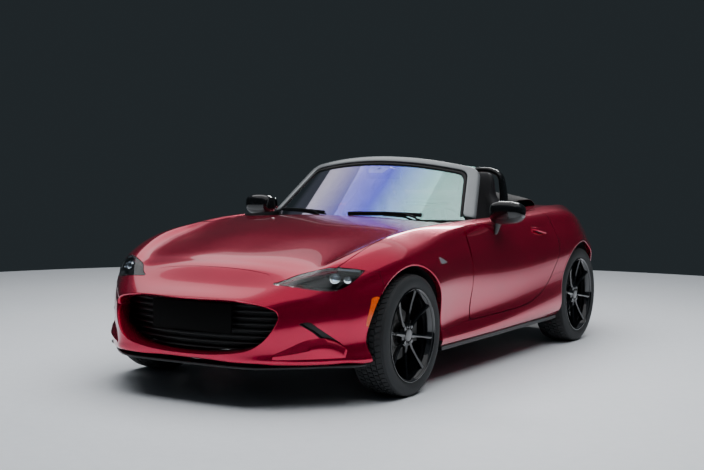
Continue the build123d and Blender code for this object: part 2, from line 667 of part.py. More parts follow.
deck_depth = 36
deck = hull & block((-deck_half_width, deck_half_width), (at(deck_front), at(lid_front) - lid_hinge_gap), (700, 1000))
deck = deck - side_prism(under_line([2500, 2600, 2850, 3075, 3300], deck_depth), (-700, 700))
well = block((-stack_half_width - seat_fit, stack_half_width + seat_fit),
             (at(stack_station[0]) - seat_fit, at(stack_station[1]) + seat_fit), (700, 1000))
deck_web = [block(sorted((side * lid_pin_x[0] - side * 12, side * (lid_pin_x[0] + 8))),
                  (at(lid_front) - 40, lid_pin[0] + 6), (lid_pin[1] - 14, lid_pin[1] + 6)) for side in (1, -1)]
lid_pins = [rod((side * (lid_pin_x[0] + 7), *lid_pin), (side * (lid_pin_x[1] - 1), *lid_pin), lid_pin_radius)
            for side in (1, -1)]
deck = join([largest(deck - well)] + deck_web + lid_pins)
keep("rear_deck", largest(deck))
stack_top = 942
stack_bottom = 792
stack_side = [(at(stack_station[0]), stack_bottom), (at(stack_station[0]), 905), (at(stack_station[0]) + 40, stack_top),
              (at(stack_station[1]) - 120, stack_top - 8), (at(stack_station[1]), 895), (at(stack_station[1]), stack_bottom)]
stack = side_prism(stack_side, (-stack_half_width, stack_half_width))
stack_front = [(-stack_half_width, 780), (-stack_half_width, 895), (-stack_half_width + 45, stack_top),
               (stack_half_width - 45, stack_top), (stack_half_width, 895), (stack_half_width, 780)]
stack = stack & front_prism(stack_front, (at(2500), at(3200)))
keep("soft_top", largest(stack))

# Door mirrors, on the doors

mirror_side = [(at(1812), 842), (at(1800), 900), (at(1850), 937), (at(1925), 945), (at(1945), 929), (at(1945), 850),
               (at(1900), 835)]
door_mirror = side_prism(mirror_side, (752, 938))
mirror_front = [(752, 842), (759, 929), (795, 945), (885, 945), (930, 917), (938, 880), (912, 850), (795, 833)]
door_mirror = door_mirror & front_prism(mirror_front, (at(1780), at(1960)))
mirror_foot = block((725, 795), (at(1850), at(1920)), (800, 885)) - hull
door_mirror = largest(door_mirror + largest(mirror_foot)) - hull
door_mirror = door_mirror.moved(Location((0, 0, seat_fit)))
keep("mirror_left", door_mirror)
keep("mirror_right", mirrored(door_mirror))

# Steering wheel, square to its column

wheel_ring_radius = 175
ring_tube = 16
column_plane = Plane(tuple(hub_spot), x_dir=(1, 0, 0), z_dir=column_way)
ring_plane = Plane(tuple(hub_spot + column_plane.x_dir * wheel_ring_radius), x_dir=(1, 0, 0),
                   z_dir=tuple(column_plane.y_dir))
steering = Solid.revolve(Face(Wire.make_circle(ring_tube, ring_plane)), 360, Axis(tuple(hub_spot), column_way))
steering = steering + Solid.make_cylinder(62, 44, Plane(tuple(hub_spot - Vector(*column_way) * 38),
                                                        x_dir=(1, 0, 0), z_dir=column_way))
for turn in (0, 180, 270):
    spoke_way = column_plane.x_dir * cos(radians(turn)) + column_plane.y_dir * sin(radians(turn))
    spoke_plane = Plane(tuple(hub_spot), x_dir=tuple(spoke_way), z_dir=column_way)
    steering = steering + Solid.make_box(wheel_ring_radius - 40, 30, 10, spoke_plane.offset(-5).shift_origin(
        tuple(hub_spot + spoke_way * 40 - Vector(*column_way) * 5 - spoke_plane.y_dir * 15)))
bore_start = tuple(hub_spot - Vector(*column_way) * 60)
steering = steering - rod(bore_start, tuple(hub_spot - Vector(*column_way) * 6), 10 + pin_fit)
keep("steering_wheel", largest(steering))

# Wheels

hub_bore = 17
hub_face = 45            # outboard of the middle of the rim
disc_radius = 129
disc_x = (-12, 8)        # from the middle of the rim, outboard positive


def turned(points):
    """Ring about the X axis from points of x and radius."""
    face = Face(Wire.make_polygon([Vector(x, 0, r) for x, r in points], close=True))
    return Solid.revolve(face, 360, Axis.X)


half_rim = rim_width / 2
bead = half_rim - 8
rim_profile = [(half_rim, rim_radius), (half_rim - 7, rim_radius), (bead - 5, rim_radius - 14), (60, 215), (-60, 215),
               (-bead + 5, rim_radius - 14), (-half_rim + 7, rim_radius), (-half_rim, rim_radius),
               (-half_rim, rim_radius - 9), (-bead, 208), (-60, 204), (60, 204), (bead, 208),
               (half_rim, rim_radius - 9)]
half_tread = tyre_width / 2 - 12
tyre_profile = [(bead - 6, rim_radius - 13.5), (half_rim - 8.5, rim_radius + 1.5), (tyre_width / 2, rim_radius + 29),
                (half_tread, tyre_radius - 1.5), (half_tread - 10, tyre_radius), (10 - half_tread, tyre_radius),
                (-half_tread, tyre_radius - 1.5), (-tyre_width / 2, rim_radius + 29),
                (8.5 - half_rim, rim_radius + 1.5), (6 - bead, rim_radius - 13.5)]


def wheel_shape():
    """Rim, spokes, hub and brake disc about X, outboard at +X."""
    wheel = turned(rim_profile)
    wheel = wheel + rod((hub_face, 0, 0), (hub_face + 22, 0, 0), 72)
    wheel = wheel + rod((disc_x[0], 0, 0), (hub_face + 2, 0, 0), 66)
    wheel = wheel + rod((disc_x[0], 0, 0), (disc_x[1], 0, 0), disc_radius)
    for index in range(spoke_count):
        turn = 360 / spoke_count * index
        arm = prism([(46, 50), (hub_face + 24, 50), (bead - 4, 206), (bead - 30, 206)],
                    lambda p: (p[0], -11, p[1]), (0, 22, 0))
        wheel = wheel + arm.rotate(Axis.X, turn)
    wheel = wheel - rod((disc_x[0] - 20, 0, 0), (hub_face, 0, 0), hub_bore + pin_fit)
    for index in range(hub_bolt_count):
        turn = radians(45 + 360 / hub_bolt_count * index)
        y, z = hub_bolt_circle / 2 * cos(turn), hub_bolt_circle / 2 * sin(turn)
        wheel = wheel - rod((hub_face + 4, y, z), (hub_face + 30, y, z), 9)
    return largest(wheel)


wheel_left = wheel_shape()
tyre_left = turned(tyre_profile)
for end, y, track in (("front", front_axle, track_front), ("rear", rear_axle, track_rear)):
    for side, word in ((1, "left"), (-1, "right")):
        spot = Location((side * track / 2, y, tyre_radius))
        wheel = wheel_left if side > 0 else mirrored(wheel_left)
        keep(f"wheel_{end}_{word}", wheel.moved(spot))
        keep(f"tyre_{end}_{word}", tyre_left.moved(spot))

# Knuckles: upright, stub axle and brake caliper, about the wheel's middle, outboard at +X

kingpin_in = 58            # inboard of the middle of the tyre
kingpin_low = -132         # from the hub
kingpin_high = 150
joint_radius = 9
upright_half = 24


def knuckle_shape():
    upright = block((-kingpin_in - 20, -kingpin_in + 22), (-upright_half, upright_half), (kingpin_low, kingpin_high))
    stub = rod((-kingpin_in + 10, 0, 0), (hub_face - 4, 0, 0), hub_bore)
    boss = rod((-kingpin_in + 10, 0, 0), (disc_x[0] - moving_gap, 0, 0), 42)
    arm = block((-kingpin_in, disc_x[0] - moving_gap), (10, 150), (-30, 30))
    caliper = block((disc_x[0] - moving_gap - 14, disc_x[1] + moving_gap + 14), (84, 166), (-52, 52))
    gap = rod((disc_x[0] - moving_gap, 0, 0), (disc_x[1] + moving_gap, 0, 0), disc_radius + moving_gap)
    return largest(join([upright, boss, arm, caliper - gap, stub]))


knuckle = knuckle_shape()
steered = cut(knuckle, [rod((-kingpin_in, 0, z0), (-kingpin_in, 0, z1), joint_radius + pin_fit)
                        for z0, z1 in ((kingpin_low - 1, kingpin_low + 24), (kingpin_high - 24, kingpin_high + 1))])
for side, word in ((1, "left"), (-1, "right")):
    shape = largest(steered) if side > 0 else mirrored(largest(steered))
    keep(f"knuckle_{word}", shape.moved(Location((side * track_front / 2, front_axle, tyre_radius))))

# Front suspension: subframe, arms to the kingpin, dampers

kingpin_x = track_front / 2 - kingpin_in
low_z = tyre_radius + kingpin_low
high_z = tyre_radius + kingpin_high
arm_thick = 16
parts = [block((-345, 345), (front_axle - 90, front_axle + 90), (low_z - 10, low_z + 40))]
for side in (1, -1):
    def sided(lo, hi):
        return tuple(sorted((side * lo, side * hi)))
    low_plan = [(side * 330, front_axle - 88), (side * 330, front_axle + 88), (side * (kingpin_x - 20), front_axle + 26),
                ("via", (side * (kingpin_x + 20), front_axle)), (side * (kingpin_x - 20), front_axle - 26)]
    high_plan = [(side * 400, front_axle - 70), (side * 400, front_axle + 70), (side * (kingpin_x - 20), front_axle + 22),
                 ("via", (side * (kingpin_x + 20), front_axle)), (side * (kingpin_x - 20), front_axle - 22)]
    parts += [
        plan_prism(low_plan, (low_z - arm_thick - 2, low_z - 2)),
        plan_prism(high_plan, (high_z + 2, high_z + 2 + arm_thick)),
        rod((side * kingpin_x, front_axle, low_z - 4), (side * kingpin_x, front_axle, low_z + 20), joint_radius),
        rod((side * kingpin_x, front_axle, high_z - 20), (side * kingpin_x, front_axle, high_z + 4), joint_radius),
        block(sided(358, 425), (front_axle - 68, front_axle + 68), (low_z + 10, high_z + 18)),
        block(sided(300, 360), (front_axle - 60, front_axle + 60), (low_z + 10, rail_z[0] - seat_fit)),
        rod((side * 520, front_axle, low_z - 6), (side * 470, front_axle, 600), 42),
    ]
rack = rod((-400, front_axle + 72, low_z + 62), (400, front_axle + 72, low_z + 62), 24)
front_suspension = largest(join(parts + [rack]) - nodes_tub)
keep("front_suspension", front_suspension)

# Rear suspension with final drive, shafts and knuckles

parts = [block((-120, 120), (rear_axle - 120, rear_axle + 110), (tyre_radius - 85, tyre_radius + 60)),
         block((-400, 400), (rear_axle - 60, rear_axle + 60), (tyre_radius - 120, tyre_radius - 70))]
for side in (1, -1):
    def sided(lo, hi):
        return tuple(sorted((side * lo, side * hi)))
    upright_x = track_rear / 2 - kingpin_in
    parts += [
        rod((side * 100, rear_axle, tyre_radius), (side * upright_x, rear_axle, tyre_radius), 16),
        plan_prism([(side * 340, rear_axle - 150), (side * 340, rear_axle + 58), (side * upright_x, rear_axle + 20),
                    (side * upright_x, rear_axle - 20)], (tyre_radius + kingpin_low - 2, tyre_radius + kingpin_low + 16)),
        block(sided(340, 400), (rear_axle - 150, rear_axle + 58), (tyre_radius + kingpin_low - 2, tyre_radius - 70)),
        rod((side * 400, rear_axle, tyre_radius + kingpin_high - 12),
            (side * upright_x, rear_axle, tyre_radius + kingpin_high - 12), 13),
        block(sided(385, 425), (rear_axle - 40, rear_axle + 40), (tyre_radius - 100, 399.7)),
        block(sided(385, 425), (rear_axle - 20, rear_axle + 20), (399, 399.7)),
        rod((side * 590, rear_axle + 60, tyre_radius + kingpin_low), (side * 560, rear_axle + 60, 640), 42),
        plan_prism([(side * 540, rear_axle + 20), (side * 640, rear_axle + 20), (side * 640, rear_axle + 80),
                    (side * 540, rear_axle + 80)], (tyre_radius + kingpin_low - 2, tyre_radius + kingpin_low + 16)),
        (knuckle if side > 0 else mirrored(knuckle)).moved(Location((side * track_rear / 2, rear_axle, tyre_radius))),
    ]
rear_suspension = largest(join(parts) - nodes_tub)
keep("rear_suspension", rear_suspension)

# Engine with gearbox and shaft, radiator, exhaust, housings of the wheels

engine = block((-190, 190), (at(700), at(1290)), (238, 690))
engine = engine + block((-92, 92), (at(1289), at(1900)), (215, 320))
mounts = [block(sorted((side * 189, side * (rail_x[0] - seat_fit))), (at(960), at(1010)), (rail_z[0] + 20, rail_z[1]))
          for side in (1, -1)]
shaft = rod((0, at(1890), 262), (0, rear_axle - 120 - seat_fit, 262), 34)
engine = largest(join([engine, shaft] + mounts) - nodes["front_suspension"])
engine = engine - block((-400, 400), (at(690), front_axle + 104), (0, 290))
keep("engine_block", largest(engine))

radiator = block((-rail_x[0] + seat_fit, rail_x[0] - seat_fit), (at(275), at(320)), (235, 498))
keep("radiator", radiator)

pipe_radius = 26
pipe_z = 180
silencer_z = (235, 385)
exhaust = rod((-60, at(1500), pipe_z), (-60, rear_axle + 190, pipe_z), pipe_radius)
exhaust = exhaust + block((-420, 420), (rear_axle + 180, rear_axle + 420), silencer_z)
exhaust = exhaust + rod((-60, rear_axle + 185, pipe_z), (-60, rear_axle + 230, silencer_z[0] + 30), pipe_radius)
exhaust = exhaust + Solid.make_sphere(pipe_radius, Plane((-60, rear_axle + 188, pipe_z)))
for x in (-330, -400):
    exhaust = exhaust + rod((x, rear_axle + 400, 300), (x, at(3850), 300), 31)
hangers = [block(sorted((side * 380, side * 400)), (rear_axle + 260, rear_axle + 300), (380, 399.7)) for side in (1, -1)]
exhaust = largest(join([exhaust] + hangers) - nodes["rear_suspension"])
keep("exhaust", exhaust)

liner_thick = 4
liners = []
for side in (1, -1):
    for y in (front_axle, rear_axle):
        ends = [(side * x, y, arch_height) for x in (house_inner_x + 2, house_lip_x - 2)]
        liner = rod(ends[0], ends[1], house_radius - fixed_gap) - rod(ends[0], ends[1], house_radius - fixed_gap - liner_thick)
        liner = liner - block((-1000, 1000), (y - 500, y + 500), (-100, 300))
        liner = largest(cut(liner, [nodes_tub]))
        liners.append(liner)
keep("arch_liners", liners)

# Plates

plate_front = block((-260, 260), (at(-14), at(-4)), (336, 448))
plate_posts = [block(sorted((side * 60, side * 90)), (at(-5), at(45.4)), (344, 355)) for side in (1, -1)]
plate_rear = block((-256, 256), (at(3880) + seat_fit, at(3889)), (426, 538))
keep("number_plates", [largest(join([plate_front] + plate_posts)), plate_rear])

os.makedirs("parts", exist_ok=True)
for name, shape in nodes.items():
    export_step(shape, f"parts/{name}.step")
print(len(nodes), "nodes")
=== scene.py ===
import bpy, bmesh
import numpy as np
from math import cos, sin, pi, radians, sqrt, tau
from mathutils import Matrix, Vector
from mathutils.bvhtree import BVHTree
from mathutils.interpolate import poly_3d_calc


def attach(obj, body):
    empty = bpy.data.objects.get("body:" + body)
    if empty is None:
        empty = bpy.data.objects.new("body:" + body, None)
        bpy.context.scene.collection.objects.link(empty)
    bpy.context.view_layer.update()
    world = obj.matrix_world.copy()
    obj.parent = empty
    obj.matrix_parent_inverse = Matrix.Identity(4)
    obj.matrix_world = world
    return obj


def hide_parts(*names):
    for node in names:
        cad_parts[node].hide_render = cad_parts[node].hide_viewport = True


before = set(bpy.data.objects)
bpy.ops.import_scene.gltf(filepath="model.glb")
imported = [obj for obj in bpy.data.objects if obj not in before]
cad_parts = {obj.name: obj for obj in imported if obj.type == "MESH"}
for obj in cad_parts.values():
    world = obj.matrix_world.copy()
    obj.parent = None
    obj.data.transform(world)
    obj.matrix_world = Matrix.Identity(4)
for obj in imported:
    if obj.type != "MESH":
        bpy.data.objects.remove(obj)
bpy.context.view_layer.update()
mm = 0.001
scene = bpy.context.scene

# viewpoint and lights, in metres and degrees
view = {"spot": (3.7404, -6.7056, 1.1966), "turn": -30.573, "tilt": -3.590, "roll": 0.504,
        "lens": 64.34, "sensor": 36, "far": 100}
room = {"floorRadius": 6.2, "wallTone": "#262c2f", "ceilingTone": "#50555b", "overheadTone": "#5a5f65",
        "light": 1.0}
lights = [  # name, middle, width and length in metres, watts, aimed at
    ("ceilingPanel", (-0.4, 0.2, 4.9), (10.0, 8.4), 130, (-0.4, 0.2, 0)),
    ("screenPanel", (-2.6, 1.7, 4.8), (5.2, 3.0), 36, (-2.6, 1.7, 0)),
    ("backPanel", (-1.4, 7.0, 5.2), (3.6, 0.4), 130, (0.5, -1.0, 0.8)),
    ("floorWash", (0.6, -0.6, 4.6), (7.0, 7.0), 620, (0.6, -0.6, 0)),
]


def aimed(spot, target):
    return (Vector(target) - Vector(spot)).to_track_quat("-Z", "Y").to_matrix().to_4x4()


def makeCamera():
    turn, tilt, roll = (radians(view[key]) for key in ("turn", "tilt", "roll"))
    ahead = Vector((cos(tilt) * sin(turn), cos(tilt) * cos(turn), sin(tilt)))
    side = ahead.cross(Vector((0, 0, 1))).normalized()
    up = side.cross(ahead)
    right, top = side * cos(roll) + up * sin(roll), up * cos(roll) - side * sin(roll)
    lens = bpy.data.cameras.new("viewCamera")
    lens.lens, lens.sensor_width, lens.clip_end = view["lens"], view["sensor"], view["far"]
    camera = bpy.data.objects.new("viewCamera", lens)
    scene.collection.objects.link(camera)
    turnOnly = Matrix((right, top, -ahead)).transposed().to_4x4()
    camera.matrix_world = Matrix.Translation(view["spot"]) @ turnOnly
    scene.camera = camera


def makeLights():
    for name, spot, size, watts, target in lights:
        lamp = bpy.data.lights.new(name, "AREA")
        lamp.shape, lamp.size, lamp.size_y, lamp.energy = "RECTANGLE", size[0], size[1], watts
        lampObject = bpy.data.objects.new(name, lamp)
        scene.collection.objects.link(lampObject)
        lampObject.matrix_world = Matrix.Translation(spot) @ aimed(spot, target)
        lampObject.visible_glossy = name != "floorWash"   # the wash lights the floor and is not mirrored


def linear(code):
    # hex sRGB tone to linear colour
    parts = [int(code[i:i + 2], 16) / 255 for i in (1, 3, 5)]
    return tuple(p / 12.92 if p <= 0.04045 else ((p + 0.055) / 1.055) ** 2.4 for p in parts) + (1,)


def addNode(tree, kind, settings=None, links=None):
    # sockets are named or numbered, anything else is a property of the node
    node = tree.nodes.new(kind)
    for key, value in (settings or {}).items():
        if isinstance(key, int) or key in node.inputs:
            node.inputs[key].default_value = value
        else:
            setattr(node, key, value)
    for key, source in (links or {}).items():
        tree.links.new(source, node.inputs[key])
    return node


def startFinish(name, settings):
    finish = bpy.data.materials.new(name)
    finish.use_nodes = True
    tree = finish.node_tree
    shader = tree.nodes["Principled BSDF"]
    for key, value in settings.items():
        shader.inputs[key].default_value = value
    place = addNode(tree, "ShaderNodeTexCoord").outputs["Object"]
    return finish, tree, shader, place


def toneRamp(tree, source, low, high, lowPlace=0.3, highPlace=0.7):
    ramp = addNode(tree, "ShaderNodeValToRGB", {}, {"Fac": source})
    ramp.color_ramp.elements[0].color, ramp.color_ramp.elements[1].color = low, high
    ramp.color_ramp.elements[0].position, ramp.color_ramp.elements[1].position = lowPlace, highPlace
    return ramp.outputs["Color"]


def manyTones(tree, source, stops):
    # stops of (place, hex tone)
    ramp = addNode(tree, "ShaderNodeValToRGB", {}, {"Fac": source})
    while len(ramp.color_ramp.elements) < len(stops):
        ramp.color_ramp.elements.new(0.5)
    for element, (share, tone) in zip(ramp.color_ramp.elements, stops):
        element.position, element.color = share, linear(tone)
    return ramp.outputs["Color"]


def speckled(name, low, high, grainSize, settings, roughRange=None, bumpDepth=0.0, kind="NOISE", drift=0.35):
    # two close tones over a slow drift and a fine grain, with roughness and bump from the same grain;
    # grain and bump in mm, drift in metres
    finish, tree, shader, place = startFinish(name, settings)
    slow = addNode(tree, "ShaderNodeTexNoise", {"Scale": 1 / drift, "Detail": 2.0}, {"Vector": place})
    if kind == "CELLS":
        fine = addNode(tree, "ShaderNodeTexVoronoi", {"Scale": 1 / (grainSize * mm)}, {"Vector": place})
        grain = fine.outputs["Distance"]
    else:
        fine = addNode(tree, "ShaderNodeTexNoise", {"Scale": 1 / (grainSize * mm), "Detail": 3.0}, {"Vector": place})
        grain = fine.outputs["Fac"]
    both = addNode(tree, "ShaderNodeMix", {"data_type": "FLOAT", 0: 0.5}, {2: slow.outputs["Fac"], 3: grain})
    tree.links.new(toneRamp(tree, both.outputs[0], linear(low), linear(high)), shader.inputs["Base Color"])
    if roughRange:
        rough = addNode(tree, "ShaderNodeMapRange", {"To Min": roughRange[0], "To Max": roughRange[1]},
                        {"Value": grain})
        tree.links.new(rough.outputs["Result"], shader.inputs["Roughness"])
    if bumpDepth:
        bump = addNode(tree, "ShaderNodeBump", {"Strength": 0.6, "Distance": bumpDepth * mm}, {"Height": grain})
        tree.links.new(bump.outputs["Normal"], shader.inputs["Normal"])
    return finish


finishes = {
    # sprayed candy lacquer: metal flake under translucent red under clear coat, dark where it mirrors the dark room
    "candyLacquer": speckled("sprayedCandyLacquer", "#b8003a", "#cc0042", 1.6,
                             {"Metallic": 0.83, "Coat Weight": 0.8, "Coat Roughness": 0.01, "Coat IOR": 1.5},
                             roughRange=(0.17, 0.23)),
    # injection moulded ABS with a polished face: near black, sharp reflections
    "pianoBlack": speckled("polishedBlackAbs", "#08090a", "#0c0d0f", 3, {"IOR": 1.52, "Coat Weight": 0.6,
                           "Coat Roughness": 0.02}, roughRange=(0.06, 0.12)),
    # screen frame: a grey tone with a broad soft sheen; the grey is painted reflection, standing in for the softbox
    # mirrored in a gloss black frame
    "frameSatin": speckled("greyFramePaintedReflection", "#74787b", "#85898c", 3, {"Metallic": 0.5, "Coat Weight": 0.5,
                           "Coat Roughness": 0.2}, roughRange=(0.3, 0.4)),
    # cast and machined alloy sprayed gloss black
    "blackAlloy": speckled("lacqueredCastAlloy", "#0c0d0f", "#121317", 2, {"Metallic": 0.35, "Coat Weight": 1.0,
                           "Coat Roughness": 0.02, "Coat IOR": 1.65}, roughRange=(0.12, 0.18)),
    # moulded polypropylene with an etched grain: dull charcoal
    "grainedPlastic": speckled("etchedPolypropylene", "#131415", "#1d1e20", 1.4, {"IOR": 1.49},
                               roughRange=(0.5, 0.66), bumpDepth=0.16, kind="CELLS"),
    # darker moulded bars with a satin face
    "satinPlastic": speckled("satinMouldedAbs", "#0d0e0f", "#17181a", 2, {"IOR": 1.5}, roughRange=(0.3, 0.42)),
    # vulcanised rubber, dusty grey black
    "tyreRubber": speckled("vulcanisedTyreRubber", "#1e2021", "#2b2d2f", 2.2, {"IOR": 1.52}, roughRange=(0.62, 0.78),
                           bumpDepth=0.12),
    # extruded seal rubber: even dull black
    "sealRubber": speckled("extrudedSealRubber", "#0b0b0c", "#121213", 2, {"IOR": 1.52}, roughRange=(0.5, 0.6)),
    # grained hide: black with a soft pebbled shine
    "seatLeather": speckled("grainedBlackLeather", "#121214", "#1c1c1f", 2.4, {"IOR": 1.48}, roughRange=(0.42, 0.56),
                            bumpDepth=0.22, kind="CELLS"),
    # coated piping, a shade lighter than the hide
    "seamThread": speckled("coatedSeamPiping", "#1d1d20", "#2a2a2e", 2, {"IOR": 1.48}, roughRange=(0.4, 0.5)),
    # pressed steel under chassis paint: dull, slightly uneven
    "blackSteel": speckled("paintedPressedSteel", "#0f1011", "#191a1b", 4, {"IOR": 1.5}, roughRange=(0.45, 0.6),
                           bumpDepth=0.05),
    # turned and milled iron: grey with a broad metal shine
    "castIron": speckled("machinedCastIron", "#5c5c5b", "#7a7977", 1.5, {"Metallic": 0.9}, roughRange=(0.35, 0.5),
                         bumpDepth=0.05),
    # sand cast light alloy: pale grey and rough
    "castAluminium": speckled("sandCastAluminium", "#8d8f91", "#a6a8aa", 1.8, {"Metallic": 0.4},
                              roughRange=(0.42, 0.58), bumpDepth=0.12),
    # brushed stainless steel: warm grey, streaky shine
    "stainlessTube": speckled("brushedStainlessTube", "#8f8c88", "#a8a5a0", 1.2, {"Metallic": 1.0},
                              roughRange=(0.2, 0.34)),
    # plastic metallised in a vacuum: near mirror
    "reflector": speckled("vacuumMetallisedReflector", "#c9cdd2", "#e2e5e8", 4, {"Metallic": 1.0},
                          roughRange=(0.08, 0.2)),
    # satin silver spray: soft metal sheen
    "bezelSilver": speckled("satinSprayedBezel", "#9a9fa5", "#b4b9be", 3, {"Metallic": 0.7}, roughRange=(0.3, 0.42)),
    # dull black inside of a lamp: swallows light
    "lampBowl": speckled("dullBlackLampBowl", "#060607", "#0a0a0b", 3, {"IOR": 1.3}, roughRange=(0.5, 0.6)),
    # painted blank plate: flat black
    "blankPlate": speckled("paintedBlankPlate", "#020202", "#040404", 3, {"IOR": 1.2}, roughRange=(0.6, 0.7)),
    # silvered glass: clean mirror
    "mirrorGlass": speckled("silveredGlass", "#b9c0c4", "#c6ccd0", 60, {"Metallic": 1.0}, roughRange=(0.01, 0.03)),
    # moulded amber acrylic with small prisms
    "amberLens": speckled("mouldedAmberAcrylic", "#d8490a", "#f2630f", 3, {"IOR": 1.49, "Coat Weight": 0.8},
                          roughRange=(0.18, 0.3), bumpDepth=0.4, kind="CELLS"),
    # moulded red acrylic, dark when unlit
    "redLens": speckled("mouldedRedAcrylic", "#3c0206", "#560409", 4, {"IOR": 1.49, "Coat Weight": 1.0,
                        "Coat Roughness": 0.02}, roughRange=(0.1, 0.2)),
    # clear red acrylic over a bright ring
    "brightRedLens": speckled("clearRedAcrylic", "#e0181c", "#f02a26", 4, {"IOR": 1.49, "Coat Weight": 1.0},
                              roughRange=(0.1, 0.2)),
    # pale floor paint: faint sheen, slow drift of tone
    "studioFloor": speckled("paintedStudioFloor", "#bfc4ca", "#c9cdd2", 60, {"IOR": 1.45}, roughRange=(0.42, 0.5),
                            drift=2.5),
}


def makeGlass(name, tint, settings, filmAndPaintedReflection=None):
    # laminated sheet: clear body, faint drift of tint, coated face
    finish, tree, shader, place = startFinish(name, {"Transmission Weight": 1.0, **settings})
    slow = addNode(tree, "ShaderNodeTexNoise", {"Scale": 2.0}, {"Vector": place})
    tree.links.new(toneRamp(tree, slow.outputs["Fac"], linear(tint[0]), linear(tint[1])), shader.inputs["Base Color"])
    if filmAndPaintedReflection:
        # the metal oxide film between the layers gives the screen its mirror colour; that colour and its brightness are
        # laid out by place across the screen, as painted reflection standing in for the shift with the angle of view
        across = addNode(tree, "ShaderNodeSeparateXYZ", {}, {0: place}).outputs["X"]
        spread = addNode(tree, "ShaderNodeMapRange", {"From Min": -filmAndPaintedReflection["half"], "From Max": filmAndPaintedReflection["half"]},
                         {"Value": across})
        tree.links.new(manyTones(tree, spread.outputs["Result"], filmAndPaintedReflection["tones"]), shader.inputs["Specular Tint"])
    return finish


# screen: strong violet to green mirror colour, partly painted reflection laid out by place; lens: bright and clear;
# cover: hardly seen
screenFilmAndPaintedReflection = {"half": 0.6, "tones": ((0.0, "#efe4f4"), (0.24, "#d9cdee"), (0.42, "#7670d6"), (0.58, "#4f4fc4"),
                                     (0.72, "#7f9ed0"), (0.86, "#9fdccb"), (1.0, "#b9f0dc"))}
finishes["screenGlass"] = makeGlass("laminatedScreenGlass", ("#c9d6dc", "#d6dfe2"), {"Roughness": 0.0, "IOR": 4.6},
                                    screenFilmAndPaintedReflection)
finishes["clearLens"] = makeGlass("polishedProjectorLens", ("#dfe8f0", "#eef4f8"), {"Roughness": 0.02, "IOR": 1.5})
finishes["lampCover"] = makeGlass("mouldedClearPolycarbonate", ("#dfe4e8", "#eef1f3"),
                                  {"Roughness": 0.0, "IOR": 1.2})


def makeHoodCloth():
    # three-layer acrylic hood cloth, 1.6 mm threads drawn at 3 mm so that the weave shows
    weave = {"threadPitch": 3.0, "dark": "#0c0c0d", "light": "#1b1b1d"}
    finish, tree, shader, place = startFinish("wovenAcrylicHoodCloth", {"Roughness": 0.9, "Sheen Weight": 0.25,
                                              "Sheen Roughness": 0.5, "IOR": 1.45})
    scale = tau / (weave["threadPitch"] * mm) / 20   # bands repeat every tau / 20 at a scale of 1
    waves = [addNode(tree, "ShaderNodeTexWave", {"wave_type": "BANDS", "bands_direction": way, "Scale": scale},
                     {"Vector": place}).outputs["Fac"] for way in ("X", "Y")]
    crossed = addNode(tree, "ShaderNodeMath", {"operation": "MULTIPLY"}, {0: waves[0], 1: waves[1]}).outputs[0]
    drift = addNode(tree, "ShaderNodeTexNoise", {"Scale": 9.0}, {"Vector": place}).outputs["Fac"]
    mixed = addNode(tree, "ShaderNodeMath", {"operation": "MULTIPLY_ADD", 2: 0.0}, {0: drift, 1: crossed}).outputs[0]
    tree.links.new(toneRamp(tree, mixed, linear(weave["dark"]), linear(weave["light"]), 0.0, 0.6),
                   shader.inputs["Base Color"])
    bump = addNode(tree, "ShaderNodeBump", {"Strength": 0.5, "Distance": 0.5 * mm}, {"Height": crossed})
    tree.links.new(bump.outputs["Normal"], shader.inputs["Normal"])
    return finish


finishes["hoodCloth"] = makeHoodCloth()


tools = []   # cutting shapes, thrown away at the end


car = {"length": 3915, "frontAxle": 765, "wheelbase": 2310, "hubHeight": 308, "trackFront": 1495,
       "trackRear": 1505}   # mm, the axle measured from the nose


def at(station):
    return station - car["length"] / 2   # y of a place measured from the nose, in mm


frontAxle, rearAxle = at(car["frontAxle"]), at(car["frontAxle"] + car["wheelbase"])
handed, namedSides = ((1, "left"), (-1, "right")), ((1, "Left"), (-1, "Right"))   # side and word of a pair


def span(side, low, high):
    return sorted((side * low, side * high))   # the same stretch on either side, in rising order


def onSide(side, outline):
    return [(side * p[0], p[1]) for p in outline]


def addObject(name, mesh, materials):
    thing = bpy.data.objects.new(name, mesh)
    scene.collection.objects.link(thing)
    mesh.materials.clear()
    for material in materials:
        mesh.materials.append(finishes[material])
    return thing


def settle(thing, body, swaps=()):
    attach(thing, body)
    if swaps:
        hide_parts(*swaps)
    return thing


def piece(name, bm, material, body, swaps=(), sharp=35, turnOut=True):
    # a bmesh in millimetres becomes a finished piece in metres
    bmesh.ops.remove_doubles(bm, verts=bm.verts, dist=0.02)
    if turnOut:
        bmesh.ops.recalc_face_normals(bm, faces=bm.faces)
    bmesh.ops.scale(bm, vec=(mm, mm, mm), verts=bm.verts)
    mesh = bpy.data.meshes.new(name)
    bm.to_mesh(mesh)
    bm.free()
    smoothFaces(mesh, sharp)
    materials = material if isinstance(material, list) else [material]
    return settle(addObject(name, mesh, materials), body, swaps)


def smoothFaces(mesh, sharp):
    mesh.polygons.foreach_set("use_smooth", [True] * len(mesh.polygons))
    mesh.set_sharp_from_angle(angle=radians(sharp))


def baked(thing):
    # the modifiers' result becomes the mesh
    graph = bpy.context.evaluated_depsgraph_get()
    mesh = bpy.data.meshes.new_from_object(thing.evaluated_get(graph))
    old = thing.data
    thing.modifiers.clear()
    thing.data = mesh
    bpy.data.meshes.remove(old)
    return thing


def lineThrough(points, steps=8, closed=False):
    # smooth line through a few points
    count = len(points)
    spots = [Vector(p) for p in points]
    result = []
    for i in range(count if closed else count - 1):
        a, b, c, d = (spots[(i + k) % count] if closed else spots[min(max(i + k, 0), count - 1)] for k in (-1, 0, 1, 2))
        for step in range(steps):
            t = step / steps
            result.append(0.5 * (2 * b + (c - a) * t + (2 * a - 5 * b + 4 * c - d) * t ** 2
                                 + (3 * b - a - 3 * c + d) * t ** 3))
    if not closed:
        result.append(spots[-1])
    return result


